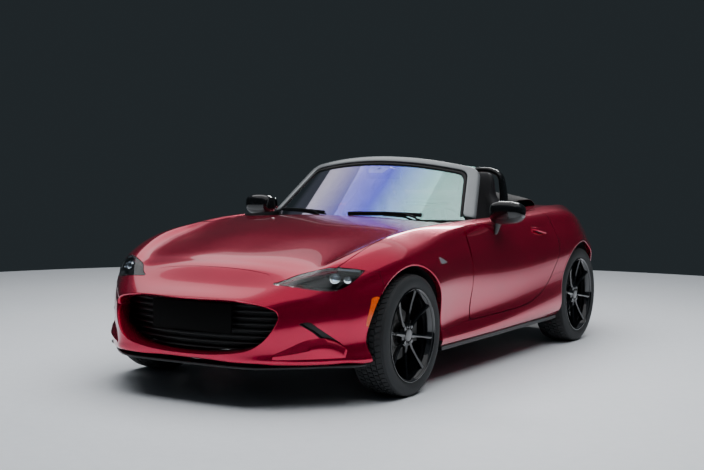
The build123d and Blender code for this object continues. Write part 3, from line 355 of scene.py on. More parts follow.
def slab(bm, outline, way, low, high):
    # flat outline pushed along x, y or z; outline holds the other two, in order
    if way == "x":
        spots = [(low, p[0], p[1]) for p in outline]
    elif way == "y":
        spots = [(p[0], low, p[1]) for p in outline]
    else:
        spots = [(p[0], p[1], low) for p in outline]
    face = bm.faces.new([bm.verts.new(p) for p in spots])
    grown = bmesh.ops.extrude_face_region(bm, geom=[face], use_keep_orig=True)["geom"]
    push = Vector([(high - low) * (way == axis) for axis in "xyz"])
    bmesh.ops.translate(bm, vec=push, verts=[g for g in grown if isinstance(g, bmesh.types.BMVert)])


def boxed(bm, x, y, z, edge=0):
    size = (x[1] - x[0], y[1] - y[0], z[1] - z[0])
    middle = ((x[0] + x[1]) / 2, (y[0] + y[1]) / 2, (z[0] + z[1]) / 2)
    made = bmesh.ops.create_cube(bm, size=1, matrix=Matrix.Translation(middle) @ Matrix.Diagonal((*size, 1)))
    if edge:
        edges = list(dict.fromkeys(e for v in made["verts"] for e in v.link_edges))
        bmesh.ops.bevel(bm, geom=edges, offset=edge, affect="EDGES", segments=2, profile=0.5, material=-1)


def rodded(bm, start, end, radius, sides=24, endRadius=None):
    # round bar between two places, tapered when the end has its own radius
    start, end = Vector(start), Vector(end)
    way = end - start
    turn = way.to_track_quat("Z", "Y").to_matrix().to_4x4()
    bmesh.ops.create_cone(bm, cap_ends=True, segments=sides, radius1=radius,
                          radius2=radius if endRadius is None else endRadius, depth=way.length,
                          matrix=Matrix.Translation((start + end) / 2) @ turn)


def turned(bm, profile, centre, axis="x", steps=64):
    # profile of (along the axis, radius) spun full circle
    spots = [Vector((p[0], 0, p[1])) if axis == "x" else Vector((p[1], 0, p[0])) for p in profile]
    verts = [bm.verts.new(p) for p in spots]
    edges = [bm.edges.new(pair) for pair in zip(verts, verts[1:])]
    way = (1, 0, 0) if axis == "x" else (0, 0, 1)
    before = set(bm.verts) - set(verts)
    bmesh.ops.spin(bm, geom=verts + edges, cent=(0, 0, 0), axis=way, angle=tau, steps=steps, use_merge=True)
    fresh = [v for v in bm.verts if v not in before]
    bmesh.ops.translate(bm, vec=centre, verts=fresh)


def tubeLine(name, points, radius, material, body):
    # round bar along a smooth line
    line = bpy.data.curves.new(name, "CURVE")
    line.dimensions, line.bevel_depth, line.bevel_resolution, line.use_fill_caps = "3D", radius * mm, 6, True
    spline = line.splines.new("POLY")
    spots = lineThrough(points, 10)
    spline.points.add(len(spots) - 1)
    for point, spot in zip(spline.points, spots):
        point.co = (*(spot * mm), 1)
    maker = bpy.data.objects.new(name + "Line", line)
    scene.collection.objects.link(maker)
    mesh = bpy.data.meshes.new_from_object(maker)
    bpy.data.objects.remove(maker)
    bpy.data.curves.remove(line)
    smoothFaces(mesh, 40)
    return settle(addObject(name, mesh, [material]), body, ())


def cutter(fill):
    # a throwaway solid; fill adds its shape to a bmesh in millimetres
    bm = bmesh.new()
    fill(bm)
    bmesh.ops.recalc_face_normals(bm, faces=bm.faces)
    bmesh.ops.scale(bm, vec=(mm, mm, mm), verts=bm.verts)
    mesh = bpy.data.meshes.new("tool")
    bm.to_mesh(mesh)
    bm.free()
    tool = bpy.data.objects.new("tool", mesh)
    scene.collection.objects.link(tool)
    tools.append(tool)
    return tool


def slabTool(outline, way, low, high):
    return cutter(lambda bm: slab(bm, outline, way, low, high))


def boxTool(x, y, z):
    return cutter(lambda bm: boxed(bm, x, y, z))


def walled(thing, thick, offset=0):
    # thickness in mm, half to each side or inward with an offset of -1
    wall = thing.modifiers.new("wall", "SOLIDIFY")
    wall.thickness, wall.offset = thick * mm, offset
    return thing


def shaped(thing, keepers=(), cutters=()):
    # keep what lies inside each keeper and take each cutter away
    for way, others in (("INTERSECT", keepers), ("DIFFERENCE", cutters)):
        for other in others:
            step = thing.modifiers.new(way, "BOOLEAN")
            step.operation, step.object, step.solver = way, other, "MANIFOLD"
    return baked(thing)


# the body's sections from nose to tail, in mm
bodyForm = {
    "levels": 3, "passes": 80, "capSize": 0.6,
    # station behind the nose; zc middle of the top; 2 edge of the bonnet or deck; 3 crown; 4 shoulder;
    # 5 widest place; 6 lower side; 7 crease above the sill; 8 edge of the underside
    "sections": [
        (0, 490, 130, 486, 190, 478, 240, 460, 262, 430, 265, 340, 255, 270, 235, 235),
        (25, 515, 250, 509, 320, 500, 375, 478, 398, 430, 402, 340, 396, 262, 375, 225),
        (80, 541, 330, 534, 410, 524, 460, 498, 480, 445, 486, 350, 482, 262, 455, 215),
        (160, 580, 400, 572, 480, 562, 535, 530, 562, 465, 568, 360, 566, 262, 540, 210),
        (260, 643, 460, 622, 560, 612, 615, 560, 650, 485, 656, 370, 654, 268, 630, 207),
        (330, 672, 490, 650, 590, 650, 665, 605, 706, 505, 714, 380, 712, 275, 690, 205),
        (420, 702, 520, 680, 620, 690, 720, 640, 770, 530, 778, 390, 776, 280, 755, 203),
        (600, 745, 560, 722, 655, 748, 775, 700, 838, 580, 842, 410, 834, 285, 795, 203),
        (765, 780, 585, 752, 665, 785, 785, 735, 860, 610, 860, 420, 845, 290, 795, 200),
        (950, 808, 605, 782, 670, 808, 785, 755, 850, 630, 850, 430, 838, 295, 793, 198),
        (1250, 842, 635, 820, 690, 832, 770, 795, 828, 660, 828, 440, 822, 300, 790, 195),
        (1700, 862, 650, 840, 700, 845, 758, 822, 815, 680, 826, 460, 822, 315, 790, 190),
        (2200, 860, 650, 845, 700, 850, 760, 830, 820, 690, 836, 480, 836, 340, 790, 190),
        (2600, 868, 640, 866, 690, 870, 765, 845, 838, 710, 856, 530, 852, 380, 798, 193),
        (2850, 882, 620, 880, 680, 884, 775, 852, 853, 710, 867, 570, 860, 410, 800, 198),
        (3075, 885, 600, 881, 670, 884, 775, 845, 860, 700, 868, 585, 862, 440, 800, 210),
        (3300, 878, 570, 874, 640, 872, 728, 802, 800, 690, 846, 575, 838, 430, 790, 235),
        (3500, 862, 530, 855, 600, 845, 670, 785, 730, 680, 768, 560, 760, 420, 715, 265),
        (3700, 838, 450, 828, 520, 815, 580, 755, 620, 665, 645, 550, 638, 420, 600, 305),
        (3840, 812, 330, 802, 380, 790, 430, 735, 465, 655, 480, 545, 475, 430, 445, 335),
        (3915, 740, 160, 735, 200, 725, 225, 700, 240, 650, 245, 550, 242, 450, 230, 380),
    ],
}


def arcMiddle(a, b, c):
    # halfway from a to b along the circle through a, b and c
    u, v = Vector(b) - Vector(a), Vector(c) - Vector(a)
    cross = 2 * (u.x * v.y - u.y * v.x)
    if abs(cross) < 1:
        return (Vector(a) + Vector(b)) / 2
    centre = Vector(a) + Vector((v.y * u.dot(u) - u.y * v.dot(v), u.x * v.dot(v) - v.x * u.dot(u))) / cross
    middle = (Vector(a) + Vector(b)) / 2 - centre
    return centre + middle.normalized() * (Vector(a) - centre).length


def sectionRing(row):
    station, top = row[0], row[1]
    p = {i + 2: (row[2 + 2 * i], row[3 + 2 * i]) for i in range(7)}
    half = [(0, top), arcMiddle((0, top), p[2], (-p[2][0], p[2][1])), p[2], p[3], p[4], arcMiddle(p[4], p[5], p[6]),
            p[5], arcMiddle(p[6], p[5], p[4]), p[6], p[7], p[8], (p[8][0] / 2, p[8][1]), (0, p[8][1])]
    other = [(-q[0], q[1]) for q in reversed(half[1:-1])]
    return [(q[0], at(station), q[1]) for q in list(half) + other]


def makeMaster():
    # rings of control points, moved until the subdivided surface runs through the sections
    rings = np.array([sectionRing(row) for row in bodyForm["sections"]])
    caps = []
    for ring, out in ((rings[0], -2), (rings[-1], 4)):
        middle = ring.mean(axis=0)
        small = middle + (ring - middle) * bodyForm["capSize"]
        small[:, 1] += out
        caps.append(small[None])
    target = np.concatenate([caps[0], rings, caps[1]])
    control = target.copy()
    for _ in range(bodyForm["passes"]):
        eased = (np.roll(control, 1, 1) + 4 * control + np.roll(control, -1, 1)) / 6
        limit = (eased[:-2] + 4 * eased[1:-1] + eased[2:]) / 6
        control[1:-1] += target[1:-1] - limit
    rows, columns = control.shape[:2]
    bm = bmesh.new()
    bmesh.ops.create_grid(bm, x_segments=columns, y_segments=rows - 1, size=1)
    bm.verts.ensure_lookup_table()
    for row in range(rows):
        for column in range(columns + 1):
            bm.verts[row * (columns + 1) + column].co = control[row, column % columns] * mm
    bmesh.ops.remove_doubles(bm, verts=bm.verts, dist=1e-6)
    bmesh.ops.holes_fill(bm, edges=[e for e in bm.edges if e.is_boundary], sides=0)
    bmesh.ops.recalc_face_normals(bm, faces=bm.faces)
    mesh = bpy.data.meshes.new("master")
    bm.to_mesh(mesh)
    bm.free()
    master = bpy.data.objects.new("master", mesh)
    scene.collection.objects.link(master)
    rounding = master.modifiers.new("rounding", "SUBSURF")
    rounding.levels = rounding.render_levels = bodyForm["levels"]
    tools.append(master)
    return baked(master)


makeCamera()
makeLights()
master = makeMaster()
masterTree = BVHTree.FromPolygons([v.co.copy() for v in master.data.vertices],
                                  [tuple(p.vertices) for p in master.data.polygons])
masterNormals = [v.normal.copy() for v in master.data.vertices]
print("body form:", len(master.data.polygons), "faces")


def onMaster(spot):
    # body normal nearest to a spot, and how far off it is
    where, _, index, far = masterTree.find_nearest(spot)
    if where is None:
        return None, 1.0
    corners = master.data.polygons[index].vertices
    weights = poly_3d_calc([master.data.vertices[i].co for i in corners], where)
    normal = Vector((0, 0, 0))
    for weight, i in zip(weights, corners):
        normal += masterNormals[i] * weight
    return normal.normalized(), far


# mm from the body's surface and share of its facing that still count as that surface, and where the inside begins
skin = {"near": 1.5, "close": 0.3, "deep": 16, "facing": 0.6}


def dressPanel(thing, body, swaps, materials=("candyLacquer", "grainedPlastic")):
    # faces on the body's own surface are lacquered and shade like the uncut body; cut faces stay flat
    mesh = thing.data
    mesh.materials.clear()
    for material in materials:
        mesh.materials.append(finishes[material])
    normals = [None] * len(mesh.loops)
    known = {}
    for face in mesh.polygons:
        facing, far = onMaster(face.center)
        outer = far < skin["near"] * mm and facing.dot(face.normal) > skin["facing"]
        if outer:
            spread = [onMaster(mesh.vertices[i].co)[1] for i in face.vertices]
            outer = max(spread) < skin["close"] * mm
        deep = not outer and far > skin["deep"] * mm
        face.use_smooth = True
        face.material_index = 1 if deep and len(materials) > 1 else 0
        for loop in face.loop_indices:
            if outer:
                i = mesh.loops[loop].vertex_index
                if i not in known:
                    known[i] = onMaster(mesh.vertices[i].co)[0]
                normals[loop] = known[i]
            else:
                normals[loop] = face.normal.copy()
    mesh.normals_split_custom_set(normals)
    return settle(thing, body, swaps)


def fromMaster(name):
    thing = bpy.data.objects.new(name, master.data.copy())
    scene.collection.objects.link(thing)
    return thing


def bothSides(thing):
    # a mirror image across the middle is added, its faces turned out again
    bm = bmesh.new()
    bm.from_mesh(thing.data)
    copies = bmesh.ops.duplicate(bm, geom=bm.verts[:] + bm.edges[:] + bm.faces[:])["geom"]
    fresh = [g for g in copies if isinstance(g, bmesh.types.BMVert)]
    bmesh.ops.scale(bm, vec=(-1, 1, 1), verts=fresh)
    bmesh.ops.reverse_faces(bm, faces=[g for g in copies if isinstance(g, bmesh.types.BMFace)])
    bm.to_mesh(thing.data)
    bm.free()
    return thing


def otherSide(thing, name):
    other = bpy.data.objects.new(name, thing.data.copy())
    scene.collection.objects.link(other)
    bm = bmesh.new()
    bm.from_mesh(other.data)
    bmesh.ops.scale(bm, vec=(-1, 1, 1), verts=bm.verts)
    bmesh.ops.reverse_faces(bm, faces=bm.faces)
    bm.to_mesh(other.data)
    bm.free()
    return other


# panel outlines are shared by neighbours so that their gaps match
gaps = {"shut": 5, "fixed": 2.4}   # mm round doors and lids, and between bolted panels
beyond = 1000   # mm, past the body at its sides and its top
# how far each outline is pushed through the body
reach = {"bonnet": (480, beyond), "lid": (555, beyond), "door": (700, beyond), "marker": (640, 900), "trim": (700, 950),
         "lamp": (at(-10), at(517)), "mouth": (at(-30), at(290)), "slot": (at(60), at(420)),
         "tail": (at(3560), at(3960))}


def mirroredLine(points):
    return list(points) + [(-p[0], p[1]) for p in reversed(points) if abs(p[0]) > 0.01]


def bonnetLine(grow):
    side = lineThrough([(640, 1452), (648, 1330), (662, 1100), (668, 900), (668, 760), (662, 600), (648, 460),
                        (630, 374)], 6)
    lamp = lineThrough([(630, 374), (590, 350), (545, 326), (498, 297), (464, 264), (432, 226), (397, 196)], 6)[1:]
    nose = lineThrough([(397, 196), (352, 226), (316, 248), (160, 259), (0, 262)], 6)[1:]
    left = [(p[0] + grow * 0.8, at(p[1]) - grow * 0.6) for p in side + lamp + nose]
    left[0] = (left[0][0], at(1452) + grow)
    return mirroredLine(left)


def lampLine(grow):
    top = lineThrough([(394 - grow, 592), (430, 640 + grow), (520, 690 + grow), (600, 674 + grow), (650, 662 + grow),
                       (700, 656 + grow), (738 + grow, 650)], 6)
    low = lineThrough([(738 + grow, 650), (730 + grow, 622), (711 + grow, 591), (690, 573 - grow), (664, 562 - grow),
                       (617, 563 - grow), (565, 570 - grow), (510, 579 - grow), (458, 583 - grow),
                       (394 - grow, 586 - grow)], 6)[1:]
    return top + low


def doorLine(grow):
    front, back = at(1482) - grow, at(2665) + grow
    bottom = lineThrough([(at(1490), 309 - grow), (at(2142), 320 - grow), (at(2385), 362 - grow),
                          (at(2525) + grow, 425 - grow), (at(2620) + grow, 520 - grow),
                          (back + 22, 620), (back + 8, 735), (back - 22, 930)], 6)
    return [(front, 930), (front + 2, 600), (front, 322 - grow), (front + 8, 311 - grow)] + bottom


def mouthLine(grow):
    half = lineThrough([(0, 246 - grow), (130, 249 - grow), (248, 260 - grow), (350, 278 - grow),
                        (405 + grow * 0.7, 304 - grow * 0.7), (442 + grow, 336), (470 + grow, 377), (489 + grow, 423),
                        (490 + grow, 455), (470 + grow * 0.8, 480 + grow * 0.8), (419, 499 + grow), (332, 511 + grow),
                        (238, 515 + grow), (120, 514 + grow), (0, 513 + grow)], 6)
    return half + [(-p[0], p[1]) for p in reversed(half[1:-1])]


def lidLine(grow):
    left = lineThrough([(470 + grow, at(3110) - grow), (462 + grow, at(3300)), (424 + grow, at(3600)),
                        (356 + grow, at(3800)), (330 + grow, at(3940))], 6)
    return mirroredLine(left)


creaseLine = lineThrough([(at(1100), 289), (at(1482), 307), (at(2142), 319), (at(2400), 362), (at(2530), 425),
                          (at(2620), 470), (at(2800), 480)], 6)
sections = np.array(bodyForm["sections"], float)


def underTool(stations, drop, x, column=1, floor=100):
    # everything more than drop below one line of the sections: its top, or the column of another height
    top = [(at(s), float(np.interp(s, sections[:, 0], sections[:, column])) - drop) for s in stations]
    return slabTool([(top[0][0], floor)] + top + [(top[-1][0], floor)], "x", *x)


innerPlan = [(0, at(55)), (300, at(62)), (430, at(135)), (520, at(225)), (610, at(335)), (680, at(430)),
             (745, at(560)), (785, at(700)), (785, at(3150)), (700, at(3400)), (600, at(3600)),
             (470, at(3780)), (300, at(3850)), (0, at(3865))]


def roomTool(stations, drop, x, column=1):
    plan = slabTool(mirroredLine(innerPlan[::-1]), "z", 100, beyond)
    return shaped(plan, [underTool(stations, drop, x, column)])


roomMid = roomTool([40, 80, 160, 260, 420, 600, 765, 950, 1250, 1700, 2600, 3300, 3700, 3870], 60, (-560, 560))
roomSide = roomTool([200, 330, 420, 600, 765, 950, 1250, 1700, 2600, 3075, 3300, 3500, 3700], 70, (-790, 790), 7)
inside = [roomMid, roomSide]
arch = {"radius": 345, "height": 318, "housing": 373, "opening": (700, 950), "room": (468, 735)}


def barrelTool(side, y, x, radius):
    spots = [(side * end, y, arch["height"]) for end in x]
    return cutter(lambda bm: rodded(bm, *spots, radius, 96))


def openingTool(y, side):
    # the round opening in the wing, and the wider room behind it
    return [barrelTool(side, y, arch["opening"], arch["radius"]), barrelTool(side, y, arch["room"], arch["housing"])]


openings = {(end, side): openingTool(y, side) for end, y in (("front", frontAxle), ("rear", rearAxle))
            for side in (1, -1)}
bonnetHole = slabTool(bonnetLine(gaps["shut"]), "z", *reach["bonnet"])
lampHoles = [slabTool(onSide(side, lampLine(gaps["fixed"])), "y", *reach["lamp"]) for side in (1, -1)]
doorHoles = [slabTool(doorLine(gaps["shut"]), "x", *span(side, *reach["door"])) for side in (1, -1)]
mouthHole = slabTool(mouthLine(0), "y", *reach["mouth"])
lidHole = slabTool(lidLine(gaps["shut"]), "z", *reach["lid"])
tailOutline = [(355, 640), (355, 735), (430, 742), (500, 744), (560, 736), (604, 716), (606, 660), (560, 642),
               (500, 632), (430, 634)]
tailHoles = [slabTool(onSide(side, tailOutline), "y", *reach["tail"]) for side in (1, -1)]
markerOutline = lineThrough([(at(447), 520), (at(484), 524), (at(474), 492), (at(458), 450), (at(446), 400),
                             (at(434), 381), (at(413), 391), (at(414), 420), (at(424), 456), (at(436), 492)], 3, True)
markerHoles = [slabTool(markerOutline, "x", *span(side, *reach["marker"])) for side in (1, -1)]
doorPin = {"x": 800, "y": at(1520), "low": 250, "clear": 53}   # room that the door's front edge turns in
hingeSweeps = [cutter(lambda bm: rodded(bm, (side * doorPin["x"], doorPin["y"], doorPin["low"]),
                                        (side * doorPin["x"], doorPin["y"], beyond), doorPin["clear"], 48))
               for side in (1, -1)]


def surfaceSpot(start, way, inward=0):
    # where a line from outside meets the body, moved inward along the line
    hit = masterTree.ray_cast(Vector(start) * mm, Vector(way))[0]
    return hit / mm + Vector(way) * inward


def noseSpot(x, z, inward=0):
    return surfaceSpot((x, -3000, z), (0, 1, 0), inward)


def sideSpot(y, z, side=1):
    return surfaceSpot((side * 2000, y, z), (-side, 0, 0))


def sideHit(y, z, side):
    # the same in metres, or nothing where the line misses the body
    return masterTree.ray_cast(Vector((side * 2, y * mm, z * mm)), Vector((-side, 0, 0)))[0]


def tailSpot(x, z, inward=0):
    return surfaceSpot((x, 3000, z), (0, -1, 0), inward)


def topSpot(x, y, inward=0):
    return surfaceSpot((x, y, 2000), (0, 0, -1), inward)


# each panel keeps what lies inside its outline and gives up what its neighbours and the room inside take
bonnet = shaped(fromMaster("bonnetPanel"), [slabTool(bonnetLine(0), "z", *reach["bonnet"])],
                [underTool([200, 260, 420, 600, 765, 950, 1250, 1460], 46, (-700, 700))])
dressPanel(bonnet, "bonnet", ["bonnet"])

wingSide = slabTool([(at(350), 646), (at(525), 642), (at(525), 100), (at(1110), 100), (at(1110), 291), (at(1477), 309),
                     (at(1477), 900), (at(350), 900)], "x", 560, beyond)
wing = shaped(fromMaster("frontWings"), [wingSide],
              [bonnetHole, lampHoles[0], boxTool((600, 690), (at(1457), at(1600)), (700, beyond)),
               *openings["front", 1], hingeSweeps[0], *inside, boxTool((0, beyond), (at(300), at(765)), (0, 500)),
               boxTool((0, beyond), (at(764), at(1111)), (0, 291))])
dressPanel(bothSides(wing), "body", ["front_wings"])


def creaseTool(lift, x):
    # everything below the crease over the sill
    line = [(p[0], p[1] + lift) for p in creaseLine]
    return slabTool([(line[0][0], 0)] + line + [(line[-1][0], 0)], "x", *x)


quarterSide = slabTool([(at(2576), 100), (at(2576), 900), (at(3700), 900), (at(3700), 650), (at(3425), 642),
                        (at(3423), 100)], "x", 320, beyond)
quarter = shaped(fromMaster("rearQuarters"), [quarterSide],
                 [boxTool((0, 602), (at(2500), at(3098)), (600, beyond)), lidHole, doorHoles[0], tailHoles[0],
                  creaseTool(gaps["fixed"], (500, beyond)), *openings["rear", 1], *inside,
                  boxTool((0, beyond), (at(2900), at(3300)), (0, 400))])
dressPanel(bothSides(quarter), "body", ["rear_quarters"])

sillSide = slabTool([(at(1000), 0)] + [tuple(p) for p in creaseLine] + [(creaseLine[-1][0], 0)], "x", 700, beyond)
sill = shaped(fromMaster("sillPanels"), [sillSide], [*openings["front", 1], *openings["rear", 1], doorHoles[0]])
dressPanel(bothSides(sill), "body", ["sills"])

door = shaped(fromMaster("doorPanelLeft"), [slabTool(doorLine(0), "x", 706, beyond)])
otherDoor = otherSide(door, "doorPanelRight")
dressPanel(door, "door_left", ["door_left"])
dressPanel(otherDoor, "door_right", ["door_right"])

slotOutline = lineThrough([(569, 415), (600, 416), (620, 396), (661, 350), (704, 300), (708, 287), (685, 293),
                           (635, 332), (605, 371), (566, 407)], 3, True)
slotHoles = [slabTool(onSide(side, slotOutline), "y", *reach["slot"]) for side in (1, -1)]
aboveSplit = slabTool([(at(350) - 2, 644), (at(560), 639.5), (at(560), 900), (at(350) - 2, 900)], "x", -beyond, beyond)
bumper = shaped(fromMaster("frontBumper"),
                [boxTool((-beyond, beyond), (at(-30), at(525) - gaps["fixed"]), (208, beyond))],
                [aboveSplit, bonnetHole, mouthHole, *lampHoles, *inside, *openings["front", 1], *openings["front", -1],
                 *markerHoles, *slotHoles])
dressPanel(bumper, "body", ["front_bumper"])

rearTop = slabTool([(at(3300), 640), (at(3425), 640), (at(3700) + 2, 648), (at(3700) + 2, 1000), (at(3300), 1000)], "x",
                   -beyond, beyond)
rearBumper = shaped(fromMaster("rearBumper"), [boxTool((-beyond, beyond), (at(3425), at(3990)), (100, beyond))],
                    [rearTop, lidHole, boxTool((-268, 268), (at(3880), at(3990)), (418, 546)), *tailHoles, *inside,
                     *openings["rear", 1], *openings["rear", -1],
                     boxTool((-470, 470), (at(3400), at(3800)), (100, 420))])
dressPanel(rearBumper, "body", ["rear_bumper"])

lidUnder = slabTool([(at(3080), 400), (at(3080), 849), (at(3500), 828), (at(3700), 804), (at(3800), 778),
                     (at(3868), 720), (at(3868), 400)], "x", -600, 600)
lid = shaped(fromMaster("bootLid"), [slabTool(lidLine(0), "z", 560, beyond)], [lidUnder])
dressPanel(lid, "boot_lid", ["boot_lid"])

deck = shaped(fromMaster("rearDeckPanel"), [boxTool((-600, 600), (at(2620), at(3098)), (700, beyond))],
              [underTool([2500, 2600, 2850, 3075, 3300], 36, (-700, 700)),
               boxTool((-556, 556), (at(2651), at(3045)), (700, beyond))])
dressPanel(deck, "body", ["rear_deck"])
print("panels cut")


def ringed(bm, rings, closed=True):
    # rings of points bridged one after another, ends filled when closed
    loops = []
    for ring in rings:
        verts = [bm.verts.new(p) for p in ring]
        loops.append([bm.edges.new((verts[i], verts[(i + 1) % len(verts)])) for i in range(len(verts))])
    for first, second in zip(loops, loops[1:]):
        bmesh.ops.bridge_loops(bm, edges=first + second)
    if closed:
        for loop in (loops[0], loops[-1]):
            bmesh.ops.contextual_create(bm, geom=loop)
    return loops


def ringPiece(name, rings, material, body, swaps, sharp, closed=True):
    # a piece that is one run of rings
    bm = bmesh.new()
    ringed(bm, rings, closed)
    return piece(name, bm, material, body, swaps, sharp)


def gridded(bm, rows, columns, spot):
    # grid whose vertices go where spot puts them
    bmesh.ops.create_grid(bm, x_segments=columns, y_segments=rows, size=1)
    bm.verts.ensure_lookup_table()
    for row in range(rows + 1):
        for column in range(columns + 1):
            bm.verts[row * (columns + 1) + column].co = spot(row, column)


def oval(centre, a, b, steps=12, power=0.7):
    # rounded rectangle of half widths a and b, two vectors
    points = []
    for i in range(steps):
        c, s = cos(tau * i / steps), sin(tau * i / steps)
        points.append(Vector(centre) + Vector(a) * (abs(c) ** power * (1 if c > 0 else -1))
                      + Vector(b) * (abs(s) ** power * (1 if s > 0 else -1)))
    return points


def rounded(thing, levels=2):
    step = thing.modifiers.new("rounding", "SUBSURF")
    step.levels = step.render_levels = levels
    return thing


def skinOf(name, keepers, cutters=()):
    # only the faces that lie on the body surface
    thing = shaped(fromMaster(name), keepers, cutters)
    bm = bmesh.new()
    bm.from_mesh(thing.data)
    inner = []
    for face in bm.faces:
        normal, far = onMaster(face.calc_center_median())
        if far > skin["near"] * mm or normal.dot(face.normal) < skin["facing"]:
            inner.append(face)
    bmesh.ops.delete(bm, geom=inner, context="FACES")
    bm.to_mesh(thing.data)
    bm.free()
    return thing


def thickened(thing, thick, body, swaps, material, inward=0.0):
    # moved inward along the body normals, given a thickness, and lit as the smooth body is
    if inward:
        for vertex in thing.data.vertices:
            vertex.co -= onMaster(vertex.co)[0] * inward * mm
    baked(walled(thing, thick, -1))
    smoothFaces(thing.data, 50)
    thing.data.materials.clear()
    thing.data.materials.append(finishes[material])
    return settle(thing, body, swaps)


def dished(bm, centre, axis, profile, steps=32):
    # profile of (along the axis, radius) turned about any axis
    across = axis.cross(Vector((0, 0, 1))).normalized()
    up = across.cross(axis)
    ringed(bm, [[centre + axis * along + (across * cos(tau * i / steps) + up * sin(tau * i / steps)) * radius
                 for i in range(steps)] for along, radius in profile])


# painted shade: dark rubber laid in the joint round the bonnet so that the gap reads as shadow
rings = [[topSpot(*inner, 5), topSpot(*outer, 5), topSpot(*outer, 9), topSpot(*inner, 9)]
         for inner, outer in zip(bonnetLine(-1.5), bonnetLine(6.5))]
ringPiece("bonnetGapShadow", rings + rings[:1], "sealRubber", "body", [], 40, closed=False)

lampParts = {"projector": (646, 630, 26), "cluster": (700, 622, 19), "lensDepth": 27, "bezelDepth": 46, "stripDepth": 7,
             "strip": [(432, 610), (464, 628), (500, 643), (540, 653), (590, 660), (634, 662), (690, 656), (722, 652)],
             "stripWidth": 9}
for side, word in namedSides:
    lampShape = slabTool(onSide(side, lampLine(0)), "y", at(-10), at(510))
    cover = skinOf("lampCover" + word, [lampShape], [bonnetHole, *openings["front", side]])
    bezel = bpy.data.objects.new("lampBezel" + word, cover.data.copy())
    scene.collection.objects.link(bezel)
    thickened(cover, 3, "body", ["front_lamps"], "lampCover")
    thickened(bezel, 3, "body", [], "lampBowl", inward=lampParts["bezelDepth"])
    bm, lens = bmesh.new(), bmesh.new()
    facing = Vector((side * 0.32, -0.85, 0.42)).normalized()
    for x, z, radius in (lampParts["projector"], lampParts["cluster"]):
        spot = noseSpot(side * x, z)
        start = spot + onMaster(spot * mm)[0] * -lampParts["lensDepth"]
        dished(bm, start, facing, [(-18, radius + 1), (-1, radius + 1), (2, radius - 1), (1, radius - 4),
                                   (-7, radius - 7), (-9, 0.5)])
        dished(lens, start, facing, [(-6, radius - 8), (-2, radius - 9), (3, radius * 0.5), (5, radius * 0.22),
                                     (5.5, 0.5)])
    piece("lampProjectors" + word, bm, "reflector", "body", [], 30)
    piece("lampLens" + word, lens, "clearLens", "body", [], 60)
    rings = []
    for x, z in lineThrough(lampParts["strip"], 4):
        top = noseSpot(side * x, z - 3, lampParts["stripDepth"])
        low = noseSpot(side * x, z - 3 - lampParts["stripWidth"], lampParts["stripDepth"] + 12)
        rings.append([top, top + Vector((0, 3, 0)), low + Vector((0, 3, 0)), low])
    ringPiece("lampStrip" + word, rings, "bezelSilver", "body", [], 40)
    shape = slabTool([(p[0] * 0.997 + at(400) * 0.003, p[1]) for p in markerOutline], "x",
                     *span(side, *reach["marker"]))
    marker = skinOf("sideMarker" + word, [shape], [*openings["front", side]])
    thickened(marker, 12, "body", [], "amberLens")
    shape = slabTool([(side * (480 + (p[0] - 480) * 0.985), 689 + (p[1] - 689) * 0.96) for p in tailOutline],
                     "y", *reach["tail"])
    tail = shaped(fromMaster("tailLamp" + word), [shape], [lidHole, *inside])
    dressPanel(tail, "body", ["tail_lamps"], materials=("redLens", "redLens"))
print("lamps made")


# mouth with its lip, blades and blank plate; slots in the corners of the cover
# rings of the lip: narrower at the sides, at the bottom and at the top, and how far back
mouth = {"lip": ((0.3, 0.3, 0.3, 1.0), (2, 1.5, 2, 1.4), (6, 3, 5, 6), (11, 5, 8, 18), (24, 8, 16, 50),
                 (25, 9, 17, 125)), "half": 489, "middle": 380, "halfHigh": 133,
         "bladeRows": (276, 306, 336, 366, 396, 426, 456, 484),
         "bladeHigh": 8, "bladeDeep": 26, "bladeSet": 54, "bladeSteps": 32, "arc": 150, "arcHalf": 540, "backing": 34,
         "backRings": (1.0, 0.8, 0.6, 0.4, 0.2, 0.04)}


def mouthDepth(x, extra=0):
    # the blades curve back towards the corners
    return at(mouth["bladeSet"] + mouth["arc"] * (x / mouth["arcHalf"]) ** 2 + extra)


middle = mouth["middle"]
rings = [[noseSpot(x * (1 - wide / mouth["half"]),
                   middle + (z - middle) * (1 - (low if z < middle else high) / mouth["halfHigh"]), back)
          for x, z in mouthLine(0)] for wide, low, high, back in mouth["lip"]]
walled(ringPiece("mouthLip", rings, "candyLacquer", "body", [], 50, closed=False), 2)
bm = bmesh.new()
rim = [p for p in mouthLine(-12) if p[0] >= 0]
high, deep = mouth["bladeHigh"] / 2, mouth["bladeDeep"]
for z in mouth["bladeRows"]:
    # as wide as the mouth is at this height
    half = max(a[0] + (b[0] - a[0]) * (z - a[1]) / (b[1] - a[1]) for a, b in zip(rim, rim[1:])
               if a[1] != b[1] and min(a[1], b[1]) <= z <= max(a[1], b[1]))
    rings = []
    for i in range(mouth["bladeSteps"] + 1):
        x = half * (2 * i / mouth["bladeSteps"] - 1)
        front = mouthDepth(x)
        rings.append([Vector((x, front + back, z + up)) for back, up in
                      ((0, -high + 2), (0, high - 2), (4, high), (deep, 1), (deep, -1), (4, -high))])
    ringed(bm, rings)
piece("mouthBlades", bm, "satinPlastic", "body", ["grille"], 25)
rings = [[Vector((x * size, mouthDepth(x * size, mouth["backing"]), middle + (z - middle) * size))
          for x, z in mouthLine(-14)] for size in mouth["backRings"]]
walled(ringPiece("mouthBacking", rings, "grainedPlastic", "body", [], 60, closed=False), 2)

